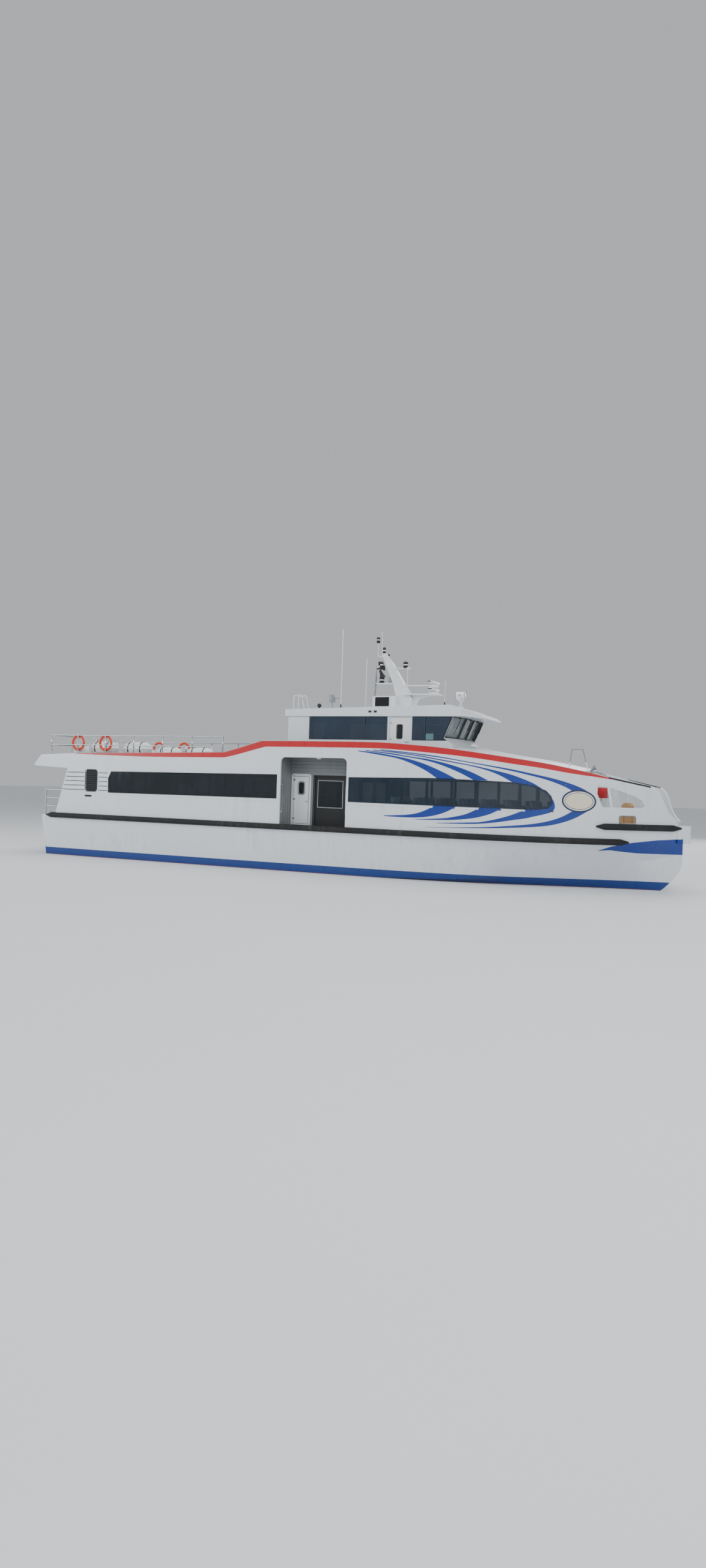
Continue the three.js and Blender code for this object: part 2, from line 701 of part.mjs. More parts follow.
// Mast on the wheelhouse roof: louvred box, leaning leg, radar platform, spreaders and stays.
// A fore arm carries the masthead light, and a small platform behind the leg two more fittings.
const roofTopAt = (x) => THREE.MathUtils.mapLinear(x, houseAft - 120, 5000, 6240, 6390) + gap;
function makeMast() {
  const foot = roofTopAt;
  const base = profile([[1250, foot(1250)], [2230, foot(2230)], [2230, 6880], [1250, 6880]], -380, 380);
  const leg = loft(
    [
      [2180, 2820, 170, 6780],
      [1980, 2420, 130, 7400],
      [1640, 1960, 90, 8150],
      [1430, 1620, 60, 8600],
    ].map(([x0, x1, half, z]) => [[x0, -half, z], [x1, -half, z], [x1, half, z], [x0, half, z]]),
  );
  const post = profile([[2200, foot(2200)], [2820, foot(2820)], [2820, 6800], [2200, 6800]], -200, 200);
  const platform = box(2500, 3920, -300, 300, 6930, 6970);
  const bracket = profile(
    [
      [2700, foot(2700)], [2960, foot(2960)], [2980, 6640], [3060, 6780], [3240, 6860], [3700, 6931],
      [2700, 6931],
    ],
    -40,
    40,
  );
  const bits = [
    rod([1500, -520, 8440], [1500, 520, 8440], 28, 6),
    rod([1700, -650, 8020], [1700, 650, 8020], 28, 6),
    rod([1480, -520, 8440], [1480, -520, 9120], 14, 6),
    rod([1480, -520, 8960], [1480, -520, 9140], 42, 8),
    rod([1480, 520, 8440], [1480, 520, 8620], 40, 8),
    rod([1700, -650, 7960], [1700, -650, 8150], 40, 8),
    rod([1700, 650, 7960], [1700, 650, 8150], 40, 8),
    rod([1525, 0, 8590], [1525, 0, 8820], 34, 8),
    rod([1450, 0, 8560], [1400, 0, 9480], 10, 6),
    bars([[900, 0, foot(900) + 30], [1120, 0, 6420], [1190, 0, 7150], [1240, 0, 8150]], 30, 8),
    rod([1240, 0, 7980], [1780, 0, 7980], 22, 6),
    rod([2640, -260, 6950], [2640, -260, 8020], 10, 6),
    box(1850, 2640, -70, 70, 7975, 8015),
    rod([2450, 0, 8010], [2450, 0, 8230], 55, 8),
    box(1190, 2100, -180, 180, 7390, 7420),
    rod([1460, 0, 7415], [1460, 0, 7660], 60, 8),
    box(1760, 1960, -90, 90, 7415, 7640),
  ];
  const pedestal = rod([radarX, 0, 6960], [radarX, 0, radarLowZ - clearance], 100, 10);
  const arm = box(2000, radarX + 90, -70, 70, radarHighZ - clearance - 40, radarHighZ - clearance);
  return join(base, leg, post, platform, bracket, ...bits, pedestal, arm);
}
// An open-array radar: turning post and bar
function makeScanner(z, length, bar, depth) {
  const x = radarX;
  return join(
    rod([x, 0, z], [x, 0, z + 45], 45, 12),
    box(x - depth / 2, x + depth / 2, -length / 2, length / 2, z + 35, z + 35 + bar),
  );
}
function makeSearchlight() {
  const { x, y, z } = searchlight;
  return join(
    rod([x, y, z], [x, y, z + 210], 35, 10),
    box(x - 45, x + 45, y - 190, y + 190, z + 195, z + 225),
    box(x - 30, x + 30, y - 190, y - 165, z + 205, z + 420),
    box(x - 30, x + 30, y + 165, y + 190, z + 205, z + 420),
    rod([x - 170, y, z + 395], [x + 170, y, z + 395], 150, 14),
    box(x - 18, x + 18, y - 175, y + 175, z + 370, z + 404),
  );
}

// Upper deck aft: rails with stanchions, and liferafts in their cradles
function makeRail() {
  const y = 2960;
  const top = 5080;
  const xs = stations(-12450, -3950, 1420);
  const posts = xs.map((x) => box(x - 18, x + 18, y - 18, y + 18, roofDeckZ + gap, top));
  const runs = [top, top - 400].map((z) => rod([xs[0] - 20, y, z], [xs.at(-1) + 20, y, z], 22, 6));
  const across = [top, top - 400].map((z) => rod([xs[0], y, z], [xs[0], 8, z], 22, 6));
  const inner = [1500, 30].map((py) =>
    box(xs[0] - 18, xs[0] + 18, py - 18, py + 18, roofDeckZ + gap, top),
  );
  return join(...posts, ...runs, ...across, ...inner);
}
function makeLiferafts() {
  const y = 2350;
  const bed = roofDeckZ + gap;
  const rails = [y - 200, y + 200].map((ry) => box(-10900, -7700, ry - 25, ry + 25, bed, bed + 60));
  const cases = [-10150, -8450].map((x) => {
    const g = new THREE.CapsuleGeometry(290, 780, 2, 10).rotateZ(Math.PI / 2);
    return solid(g.translate(x, y, bed + 420));
  });
  const cradles = [-10450, -9850, -8750, -8150].map((x) =>
    box(x - 30, x + 30, y - 260, y + 260, bed + 10, bed + 250),
  );
  return join(...rails, ...cradles, ...cases);
}

// Rubber D fenders along the side. Columns: from, to, height
const fenders = { lower: [-12500, 11380, 1690], upper: [10370, 12980, 2215] };
function makeFender([from, to, z]) {
  const [high, proud, tip] = [110, 130, 260];
  const xs = [from, ...framesBetween(from + tip, to - tip), to];
  const noseY = (x) => (x < nose[0][0] ? 0 : along(nose, x));
  return loft(
    xs.map((x) => {
      const size = x === from || x === to ? 0.25 : 1;
      const skin = Math.max(sideY(x, z + high), noseY(x)) + 6;
      const out = (share, h) => [x, skin + share * proud * size, z + h * size];
      const edge = [[0, 1], [0.7, 0.8], [1, 0.3]].map(([share, h]) => [share, h * high]);
      return [...edge.map(([u, h]) => out(u, -h)), ...edge.reverse().map(([u, h]) => out(u, h))];
    }),
  );
}

// Seats: rows on each side of the aisle, joined by the track that they stand on
const aftRows = stations(-10500, -2600, 900);
const foreRows = stations(3100, 8200, 850);
function makeSeats(rows) {
  const floor = deckZ + gap;
  const seat = [
    [0, 0], [330, 0], [450, 340], [450, 430], [110, 420], [-90, 1320], [-180, 1320],
  ];
  const track = box(rows[0] - 50, rows.at(-1) + 350, 1150, 1250, floor, floor + 12);
  const made = rows.map((x) => {
    const reach = Math.min(2550, sideY(x + 450, 2100) - 350);
    return profile(seat.map(([dx, dz]) => [x + dx, floor + dz]), 480, reach);
  });
  return join(track, ...made);
}
function makeConsole() {
  const [x0, x1] = [3650, 4600];
  const floor = roofDeckZ + gap;
  const desk = profile(
    [
      [x0 + 150, floor], [x1, floor], [x1, 5080], [x0 + 350, 5080], [x0 + 20, 4920], [x0 + 150, 4800],
    ],
    -1500,
    1500,
  );
  const chair = [[2700, 0], [3300, 0], [3300, 480], [2850, 480], [2760, 1150], [2650, 1150]];
  const chairs = [-700, 700].map((y) =>
    profile(chair.map(([x, z]) => [x, floor + z]), y - 260, y + 260),
  );
  const plinth = box(2650, x0 + 200, -960, 960, floor, floor + 40);
  return join(desk, plinth, ...chairs);
}

// Machinery
function makeEngine() {
  const room = engineRoom;
  return box(-7600, -5500, 550, 1500, room.floor + gap, room.floor + 1250);
}
function makeEngineHatch() {
  const room = engineRoom;
  const reach = room.ledge - gap;
  return box(
    room.x0 - reach, room.x1 + reach, -room.half - reach, room.half + reach,
    deckZ - room.lid, deckZ,
  );
}
// Propeller and its shaft, made along X at the origin and then laid on the shaft line
const propRadius = 420;
function makePropeller() {
  const length = (shaftEndX - propX) / Math.cos(Math.atan(shaftSlope));
  const hub = rod([-170, 0, 0], [110, 0, 0], 75, 12, 95);
  const shaft = rod([60, 0, 0], [length, 0, 0], shaftRadius, 12);
  const blade = () => {
    const s = new THREE.Shape();
    s.moveTo(-60, 60).bezierCurveTo(-190, 200, -190, 400, -20, propRadius);
    s.bezierCurveTo(170, 400, 190, 220, 60, 60);
    return new THREE.ExtrudeGeometry(s, { depth: 26, bevelEnabled: false, curveSegments: 5 })
      .translate(0, 0, -13)
      .rotateY(THREE.MathUtils.degToRad(52));
  };
  const blades = [0, 1, 2, 3].map((i) => solid(blade().rotateX((i * Math.PI) / 2)));
  return join(hub, shaft, ...blades);
}
function makeRudder() {
  const blade = plan([[-390, 0], [-150, -40], [120, -38], [190, 0], [120, 38], [-150, 40]], -1400, -560);
  const swept = plan([[-420, -60], [200, -60], [200, 60], [-420, 60]], -1500, -500);
  return join(blade.intersect(swept), rod([0, 0, -600], [0, 0, -10], stockRadius, 12));
}

// Foredeck gear
function makeWindlass() {
  const z = foredeckZ + gap;
  const x = 11090;
  const axle = z + 620;
  return join(
    box(x - 290, x + 290, -340, 340, z, z + 40),
    box(x - 230, x + 230, -150, 150, z + 30, z + 420),
    box(x - 110, x + 110, -120, 120, z + 400, axle + 60),
    rod([x, -300, axle], [x, 300, axle], 130, 14),
    rod([x, -340, axle], [x, -300, axle], 175, 14),
    rod([x, 300, axle], [x, 340, axle], 175, 14),
  );
}
function makeBitts(x, y) {
  const z = foredeckZ + gap;
  return join(
    box(x - 330, x + 330, y - 110, y + 110, z, z + 25),
    ...[-180, 180].flatMap((dx) => [
      rod([x + dx, y, z + 10], [x + dx, y, z + 330], 65, 12),
      rod([x + dx, y, z + 320], [x + dx, y, z + 345], 85, 12),
    ]),
  );
}
// Rail round the aft deck, from side to side across the stern
function makeSternRail() {
  const [x, top, half] = [-12660, 2760, 2980];
  const fore = -11750;
  const floor = deckZ + gap;
  const post = (px, y) => box(px - 20, px + 20, y - 20, y + 20, floor, top);
  const posts = stations(-half, half, 1000).map((y) => post(x, y));
  const sides = [-half, half].map((y) => post(fore, y));
  const runs = [top, top - 340, top - 680].flatMap((z) => [
    rod([x, -half, z], [x, half, z], 22, 6),
    rod([x - 20, half, z], [fore + 20, half, z], 22, 6),
    rod([x - 20, -half, z], [fore + 20, -half, z], 22, 6),
  ]);
  return join(...posts, ...sides, ...runs);
}
function makeStair() {
  const steps = stations(0, 1, 0.125).slice(1, -1);
  const [x0, x1, z0, z1] = [-12400, -11700, deckZ + gap, 4900];
  const rise = (t) => [THREE.MathUtils.lerp(x0, x1, t), THREE.MathUtils.lerp(z0, z1, t)];
  const sides = [-2420, -1820].map((y) =>
    profile([[x0 - 60, z0], [x0 + 80, z0], [x1 + 70, z1], [x1 - 70, z1]], y, y + 20),
  );
  const treads = steps.map((t) => {
    const [x, z] = rise(t);
    return box(x - 60, x + 90, -2410, -1810, z - 15, z + 5);
  });
  const feet = box(x0 - 60, x0 + 60, -2440, -1780, z0, z0 + 40);
  return join(feet, ...sides, ...treads);
}

// Colours and finishes
const paint = (color, roughness, metalness = 0) =>
  new THREE.MeshStandardMaterial({ color, roughness, metalness });
const finish = {
  white: paint(0xe9edf0, 0.35),
  grey: paint(0xaab0b4, 0.5),
  deckGrey: paint(0x7d8688, 0.8),
  glass: paint(0x1b242b, 0.08),
  rubber: paint(0x1a1b1d, 0.8),
  steel: paint(0xb9bdc0, 0.3, 0.9),
  bronze: paint(0xa8783c, 0.35, 0.9),
  seat: paint(0x2d4a86, 0.7),
  dark: paint(0x3a3d40, 0.6),
};

const ferry = new THREE.Group();
function place(name, made, material, where = [0, 0, 0], turn = 0) {
  const m = made.getMesh();
  const g = new THREE.BufferGeometry();
  const points = new Float32Array(m.numVert * 3);
  for (let i = 0; i < m.numVert; i++)
    points.set(m.vertProperties.subarray(i * m.numProp, i * m.numProp + 3), i * 3);
  g.setAttribute("position", new THREE.BufferAttribute(points, 3));
  g.setIndex(new THREE.BufferAttribute(m.triVerts, 1));
  g.computeVertexNormals();
  const mesh = new THREE.Mesh(g, material);
  mesh.name = name;
  mesh.position.set(...where);
  mesh.rotation.y = turn;
  ferry.add(mesh);
}
// Places a piece modelled on the port side, and its mirror image on the starboard side
function placePair(name, made, material, where = [0, 0, 0], turn = 0) {
  place(`${name}_port`, made, material, where, turn);
  place(`${name}_starboard`, mirrored(made), material, [where[0], -where[1], where[2]], turn);
}

place("hull", makeHull(), finish.white);
placePair("side_aft", makeAftSide(), finish.white);
placePair("side_forward", makeForeSide(), finish.white);
placePair("bulwark", makeBulwark(), finish.white);
placePair("glass_aft", aftGlass(), finish.glass);
placePair("glass_forward", makeForeGlass(), finish.glass);
placePair("bay", makeBay(), finish.grey);
placePair("bay_door", makeBayDoor(), finish.white);
placePair("bay_slider", makeBaySlider(), finish.dark);
place("cabin_roof", makeRoof(), finish.deckGrey);
place("whaleback", makeWhaleback(), finish.white);
place("bulkhead_forward", makeForeBulkhead(), finish.white);
place("foredeck_door", makeForeDoor(), finish.white);
place("bulkhead_aft", makeAftBulkhead(), finish.white);
place("aft_door", makeAftDoor(), finish.white);
place("wheelhouse_front", makeHouseFront(), finish.white);
place("wheelhouse_glass", makeFrontGlass(), finish.glass);
placePair("wheelhouse_side", makeHouseSide(), finish.white);
placePair("wheelhouse_door", makeHouseDoor(), finish.white);
place("deckhouse_aft", makeHouseAft(), finish.white);
place("wheelhouse_roof", makeHouseRoof(), finish.white);
place("helm_console", makeConsole(), finish.dark);
placePair("seats_aft", makeSeats(aftRows), finish.seat);
placePair("seats_forward", makeSeats(foreRows), finish.seat);
placePair("engine", makeEngine(), finish.dark);
place("engine_hatch", makeEngineHatch(), finish.deckGrey);
placePair("propeller", makePropeller(), finish.bronze, [propX, shaftY, propZ], -Math.atan(shaftSlope));
placePair("rudder", makeRudder(), finish.steel, [stockX, shaftY, 0]);
placePair("fender_lower", makeFender(fenders.lower), finish.rubber);
placePair("fender_upper", makeFender(fenders.upper), finish.rubber);
placePair("rail", makeRail(), finish.steel);
placePair("liferafts", makeLiferafts(), finish.white);
place("mast", makeMast(), finish.white);
place("radar_low", makeScanner(radarLowZ, 900, 100, 150), finish.white);
place("radar_high", makeScanner(radarHighZ, 1100, 90, 120), finish.white);
place("searchlight", makeSearchlight(), finish.steel);
place("windlass", makeWindlass(), finish.steel);
placePair("bitts", makeBitts(11000, 1100), finish.steel);
place("aft_stair", makeStair(), finish.steel);
place("rail_stern", makeSternRail(), finish.steel);

export default ferry;
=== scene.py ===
# Passenger ferry: finishes, painted bands, glazing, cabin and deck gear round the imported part.
import math

import bmesh
import bpy
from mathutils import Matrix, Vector


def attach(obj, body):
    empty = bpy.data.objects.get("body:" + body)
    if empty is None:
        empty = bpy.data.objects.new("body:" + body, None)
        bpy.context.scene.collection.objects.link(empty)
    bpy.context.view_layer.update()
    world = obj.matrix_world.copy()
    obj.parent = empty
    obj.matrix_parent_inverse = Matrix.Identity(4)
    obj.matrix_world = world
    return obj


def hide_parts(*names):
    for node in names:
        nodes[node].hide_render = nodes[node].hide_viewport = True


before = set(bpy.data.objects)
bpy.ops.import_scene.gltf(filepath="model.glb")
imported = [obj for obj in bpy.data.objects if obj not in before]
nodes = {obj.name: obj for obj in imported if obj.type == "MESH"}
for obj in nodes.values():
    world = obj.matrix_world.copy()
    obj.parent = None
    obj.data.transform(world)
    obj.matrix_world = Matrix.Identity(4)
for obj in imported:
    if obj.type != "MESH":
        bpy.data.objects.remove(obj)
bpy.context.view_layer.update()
print("frame loaded:", len(nodes), "nodes")


# Working with objects
def deselect():
    bpy.ops.object.select_all(action="DESELECT")


def pick(*objs):
    deselect()
    for obj in objs:
        obj.select_set(True)
    bpy.context.view_layer.objects.active = objs[0]
    return objs[0]


def fresh():
    # the primitive that was just added
    return bpy.context.object


def settle(obj):
    # place, turn and size go into the mesh
    pick(obj)
    bpy.ops.object.transform_apply(location=True, rotation=True, scale=True)
    return obj


def editAll(obj):
    pick(obj)
    bpy.ops.object.mode_set(mode="EDIT")
    bpy.ops.mesh.select_all(action="SELECT")


def objectMode():
    bpy.ops.object.mode_set(mode="OBJECT")


def outward(obj):
    editAll(obj)
    bpy.ops.mesh.remove_doubles(threshold=1e-5)
    bpy.ops.mesh.normals_make_consistent(inside=False)
    objectMode()
    return obj


def soften(obj, width, segments=2, sharpness=40):
    # bevels the edges that turn more sharply than this many degrees
    pick(obj)
    bpy.ops.object.mode_set(mode="EDIT")
    bpy.ops.mesh.select_mode(type="EDGE")
    bpy.ops.mesh.select_all(action="DESELECT")
    bpy.ops.mesh.edges_select_sharp(sharpness=math.radians(sharpness))
    bpy.ops.mesh.bevel(offset=width, segments=segments, affect="EDGES")
    objectMode()
    return obj


def modify(obj, kind, **settings):
    modifier = obj.modifiers.new(kind.title(), kind)
    for key, value in settings.items():
        setattr(modifier, key, value)
    pick(obj)
    bpy.ops.object.modifier_apply(modifier=modifier.name)
    return obj


def block(low, high, bevel=0.0, segments=2, turn=(0, 0, 0)):
    low, high = Vector(low), Vector(high)
    deselect()
    bpy.ops.mesh.primitive_cube_add(size=1, location=(low + high) / 2, rotation=turn)
    obj = fresh()
    obj.scale = high - low
    settle(obj)
    return soften(obj, bevel, segments) if bevel else obj


def drum(start, end, radius, sides=16, tip=None, bevel=0.0):
    # a round bar, or a cone when it has a tip radius
    start, end = Vector(start), Vector(end)
    way = end - start
    deselect()
    bpy.ops.mesh.primitive_cone_add(
        vertices=sides,
        radius1=radius,
        radius2=radius if tip is None else tip,
        depth=way.length,
        location=(start + end) / 2,
        rotation=way.to_track_quat("Z", "Y").to_euler(),
    )
    obj = settle(fresh())
    return soften(obj, bevel) if bevel else obj


def softCorners(points, radius, steps=4):
    # replaces each inner corner of a chain by a short arc
    points = [Vector(p) for p in points]
    made = [points[0]]
    for before, corner, after in zip(points, points[1:], points[2:]):
        reach = min(radius, (before - corner).length / 2, (after - corner).length / 2)
        a = corner + (before - corner).normalized() * reach
        b = corner + (after - corner).normalized() * reach
        for i in range(steps + 1):
            t = i / steps
            made.append(a.lerp(corner, t).lerp(corner.lerp(b, t), t))
    return [*made, points[-1]]


def pipe(points, radius, sides=2, closed=False):
    deselect()
    bpy.ops.curve.primitive_bezier_curve_add()
    obj = fresh()
    curve = obj.data
    curve.splines.clear()
    spline = curve.splines.new("POLY")
    spline.points.add(len(points) - 1)
    for point, place in zip(spline.points, points):
        point.co = (*place, 1)
    spline.use_cyclic_u = closed
    curve.bevel_depth = radius
    curve.bevel_resolution = sides
    curve.use_fill_caps = not closed
    pick(obj)
    bpy.ops.object.convert(target="MESH")
    return outward(settle(fresh()))


def plate(outline, axis, low, high, bevel=0.0):
    # a flat outline, given in the two other axes, pushed along axis (0, 1 or 2) from low to high
    deselect()
    bpy.ops.mesh.primitive_circle_add(vertices=len(outline), fill_type="NGON")
    obj = fresh()
    for vertex, place in zip(obj.data.vertices, outline):
        spot = list(place)
        spot.insert(axis, low)
        vertex.co = spot
    push = [0, 0, 0]
    push[axis] = high - low
    editAll(obj)
    bpy.ops.mesh.extrude_region_move(TRANSFORM_OT_translate={"value": push})
    bpy.ops.mesh.select_all(action="SELECT")
    bpy.ops.mesh.normals_make_consistent(inside=False)
    objectMode()
    return soften(obj, bevel, 1) if bevel else obj


def turned(profile, place, axis=(0, 0, 1), steps=24):
    # a shape of revolution: pairs of radius and height along the axis
    deselect()
    bpy.ops.mesh.primitive_circle_add(vertices=max(3, len(profile)), fill_type="NOTHING")
    obj = fresh()
    for vertex, (radius, height) in zip(obj.data.vertices, profile):
        vertex.co = (radius, 0, height)
    editAll(obj)
    mesh = bmesh.from_edit_mesh(obj.data)
    mesh.verts.ensure_lookup_table()
    first, last = mesh.verts[0], mesh.verts[len(profile) - 1]
    closing = mesh.edges.get((first, last))
    if closing:
        mesh.edges.remove(closing)
    bmesh.update_edit_mesh(obj.data)
    bpy.ops.mesh.select_all(action="SELECT")
    bpy.ops.mesh.spin(steps=steps, angle=math.tau, center=(0, 0, 0), axis=(0, 0, 1))
    objectMode()
    outward(obj)
    obj.rotation_euler = Vector(axis).to_track_quat("Z", "Y").to_euler()
    obj.location = place
    return settle(obj)


def roundedBox(u0, u1, v0, v1, radius, steps=5):
    # outline of a rectangle with round corners
    corners = [(u1 - radius, v1 - radius, 0), (u0 + radius, v1 - radius, 90)]
    corners += [(u0 + radius, v0 + radius, 180), (u1 - radius, v0 + radius, 270)]
    made = []
    for u, v, start in corners:
        for i in range(steps + 1):
            angle = math.radians(start + 90 * i / steps)
            made.append((u + radius * math.cos(angle), v + radius * math.sin(angle)))
    return made


def roundFrame(box, corner, wide, axis, low, high):
    # a flat frame with round corners
    outline = roundedBox(*box, corner)
    obj = plate(outline, axis, low, high)
    editAll(obj)
    mesh = bmesh.from_edit_mesh(obj.data)
    bpy.ops.mesh.select_mode(type="FACE")
    for face in mesh.faces:
        face.select_set(len(face.verts) == len(outline))
    bmesh.update_edit_mesh(obj.data)
    bpy.ops.mesh.inset(thickness=wide)
    bpy.ops.mesh.bridge_edge_loops()
    bpy.ops.mesh.select_all(action="SELECT")
    bpy.ops.mesh.normals_make_consistent(inside=False)
    objectMode()
    return obj


def grown(box, by):
    # low and high of two axes, each side moved out
    u0, u1, v0, v1 = box
    return u0 - by, u1 + by, v0 - by, v1 + by


def roundPlate(box, corner, axis, low, high):
    return plate(roundedBox(*box, corner), axis, low, high)


def circle(x, y, z, radius, steps):
    # points round the boat's cross axis
    turns = [math.tau * i / steps for i in range(steps)]
    return [(x + radius * math.cos(a), y, z + radius * math.sin(a)) for a in turns]


def piece(objs, name, material, body="boat", smooth=35):
    # joins what belongs together, names and paints it, and lets it ride on a body
    objs = objs if isinstance(objs, list) else [objs]
    pick(*objs)
    if len(objs) > 1:
        bpy.ops.object.join()
    obj = settle(fresh())
    obj.name = obj.data.name = name
    obj.data.materials.clear()
    obj.data.materials.append(material)
    pick(obj)
    bpy.ops.object.shade_smooth_by_angle(angle=math.radians(smooth))
    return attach(obj, body)


def mirrored(obj, name, body):
    # the same piece on the other side of the boat
    pick(obj)
    bpy.ops.object.duplicate(linked=False)
    twin = fresh()
    twin.parent = None
    for vertex in twin.data.vertices:
        vertex.co.y = -vertex.co.y
    outward(twin)
    twin.name = twin.data.name = name
    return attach(twin, body)


def pair(objs, name, material, body="boat", smooth=35):
    # a piece modelled on the port side, with its twin to starboard
    port = piece(objs, name + "_port", material, body.replace("SIDE", "port"), smooth)
    return port, mirrored(port, name + "_starboard", body.replace("SIDE", "starboard"))


# Working with materials
def wire(tree, kind, inputs, out=0, **settings):
    node = tree.nodes.new("ShaderNode" + kind)
    for key, value in settings.items():
        setattr(node, key, value)
    for key, value in inputs.items():
        if isinstance(value, bpy.types.NodeSocket):
            tree.links.new(value, node.inputs[key])
        else:
            node.inputs[key].default_value = value
    return node.outputs[out]


def calc(tree, operation, a, b=0.0, clamp=False):
    return wire(tree, "Math", {0: a, 1: b}, operation=operation, use_clamp=clamp)


def blendColour(tree, share, a, b):
    return wire(tree, "Mix", {0: share, 6: a, 7: b}, out=2, data_type="RGBA")


def spots(tree, stretch, detail=4.0, roughness=0.55):
    # noise in object space, stretched along the axes
    where = wire(tree, "TexCoord", {}, out="Object")
    where = wire(tree, "Mapping", {"Vector": where, "Scale": stretch})
    sizes = {"Vector": where, "Scale": 1.0, "Detail": detail, "Roughness": roughness}
    return wire(tree, "TexNoise", sizes)


def between(tree, value, low, high, start=0.0, end=1.0):
    sizes = {"Value": value, "From Min": low, "From Max": high, "To Min": start, "To Max": end}
    return wire(tree, "MapRange", sizes)


def axes(tree, kind="TexCoord", out="Object"):
    # X, Y and Z of a place, or of another vector
    node = tree.nodes.new("ShaderNodeSeparateXYZ")
    tree.links.new(wire(tree, kind, {}, out=out), node.inputs[0])
    return node.outputs


def startMaterial(name, sockets):
    material = bpy.data.materials.new(name)
    material.use_nodes = True
    shader = material.node_tree.nodes["Principled BSDF"]
    for key, value in sockets.items():
        shader.inputs[key].default_value = value
    return material, material.node_tree, shader


def colour(r, g, b):
    # sRGB 0 to 255 as a shader colour
    linear = []
    for c in (r, g, b):
        linear.append(c / 255 / 12.92 if c < 11 else ((c / 255 + 0.055) / 1.055) ** 2.4)
    return (*linear, 1.0)


def brighter(tone, by):
    return tuple(min(1.0, c * by) for c in tone[:3]) + (1.0,)


paintWear = {
    # stretch of the slow changes of colour, of the runs of dirt and of the skin's grain
    "broad": (0.5, 0.5, 0.8),
    "runs": (5.0, 5.0, 0.45),
    "fine": (38.0, 38.0, 38.0),
    "skin": 0.0006,
    "frames": 0.6,  # distance between the frames behind the plating
    "coatRoughness": 0.12,
}


def paintMaterial(
    name, base, dirt, roughness=0.32, grime=0.35, ripple=0.0, grain=0.0, coat=0.25, metal=0.0
):
    # brushed or sprayed paint: uneven colour, runs of dirt, a fine skin, plating that ripples
    sockets = {"Coat Weight": coat, "Coat Roughness": paintWear["coatRoughness"], "Metallic": metal}
    material, tree, shader = startMaterial(name, sockets)
    broad = spots(tree, paintWear["broad"], 3.0)
    runs = spots(tree, paintWear["runs"], 5.0, 0.6)
    fine = spots(tree, paintWear["fine"], 3.0)
    share = calc(
        tree, "MULTIPLY", between(tree, broad, 0.42, 0.68), between(tree, runs, 0.48, 0.78)
    )
    share = calc(tree, "MULTIPLY", share, grime)
    tint = blendColour(tree, between(tree, broad, 0.35, 0.65), base, brighter(base, 1.04))
    tint = blendColour(tree, share, tint, dirt)
    rough = calc(tree, "ADD", between(tree, runs, 0.3, 0.75, -0.06, 0.08), roughness)
    rough = calc(tree, "ADD", rough, between(tree, fine, 0.3, 0.7, -0.03, 0.03), clamp=True)
    tree.links.new(rough, shader.inputs["Roughness"])
    height = calc(tree, "MULTIPLY", fine, paintWear["skin"] + grain)
    if ripple:
        along = calc(tree, "MULTIPLY", axes(tree)["X"], math.tau / paintWear["frames"])
        wave = calc(tree, "ABSOLUTE", calc(tree, "SINE", along))
        dents = calc(tree, "MULTIPLY", wave, spots(tree, (0.7, 0.7, 1.1), 2.0))
        height = calc(tree, "ADD", height, calc(tree, "MULTIPLY", dents, ripple))
    bumped = wire(tree, "Bump", {"Height": height, "Distance": 1.0, "Strength": 0.6})
    tree.links.new(bumped, shader.inputs["Normal"])
    tree.links.new(tint, shader.inputs["Base Color"])
    return material, tree, shader, tint


white, trim, blue = (226, 231, 236), (232, 236, 239), (14, 54, 142)
plainDirt = (150, 146, 136)


def paint(name, base, dirt=plainDirt, **settings):
    return paintMaterial(name, colour(*base), colour(*dirt), **settings)[0]


whitePaint = paint("gloss white paint", white, ripple=0.0022)
trimPaint = paint("white trim paint", trim, grime=0.2)
redPaint = paint("red band paint", (190, 26, 34), (150, 60, 60), grime=0.3)
bluePaint = paint("blue band paint", blue, (40, 80, 130), grime=0.3)
navyPaint = paint("navy ring paint", (30, 42, 74), (60, 70, 90), grime=0.2)
creamPaint = paint("cream badge paint", (226, 220, 196), (170, 160, 140), grime=0.4)
greyPaint = paint("grey bay paint", (122, 126, 128), (84, 84, 82), roughness=0.42)
ochrePaint = paint("ochre gear paint", (204, 160, 112), (90, 66, 44), roughness=0.5, grime=0.8)
engineEnamel = paint("engine enamel", (70, 84, 92), (40, 36, 30), roughness=0.4, grime=0.8)
whitePlastic = paint("white moulding", (236, 238, 238), roughness=0.3, grime=0.3)


def matt(name, base, dirt=plainDirt, **settings):
    return paint(name, base, dirt, coat=0.0, **settings)


blackTrim = matt("black trim", (26, 28, 31), (60, 60, 60), roughness=0.5)
steelMetal = matt("stainless tube", (196, 200, 204), (120, 116, 108), roughness=0.24, metal=1.0)
greyMetal = matt("galvanised steel", (150, 154, 158), (96, 92, 86), roughness=0.42, metal=0.85)
bronzeMetal = matt(
    "cast bronze", (170, 118, 62), (70, 92, 78), roughness=0.3, grime=0.7, metal=1.0
)
rubber = matt(
    "fender rubber", (24, 25, 27), (84, 82, 78), roughness=0.72, grime=0.8, grain=0.004
)
deckPaint = matt(
    "non-slip deck paint", (118, 128, 128), (80, 78, 72), roughness=0.85, grain=0.006
)
seatCloth = matt("seat cloth", (36, 56, 110), (24, 34, 70), roughness=0.9, grain=0.003)
headCloth = matt("headrest covers", (206, 210, 214), roughness=0.9, grain=0.002)
helmCloth = matt("helm chair covers", (34, 36, 40), (60, 60, 60), roughness=0.6, grain=0.001)
buoyPaint = matt("lifebuoy cover", (214, 62, 34), (150, 80, 60), roughness=0.6)


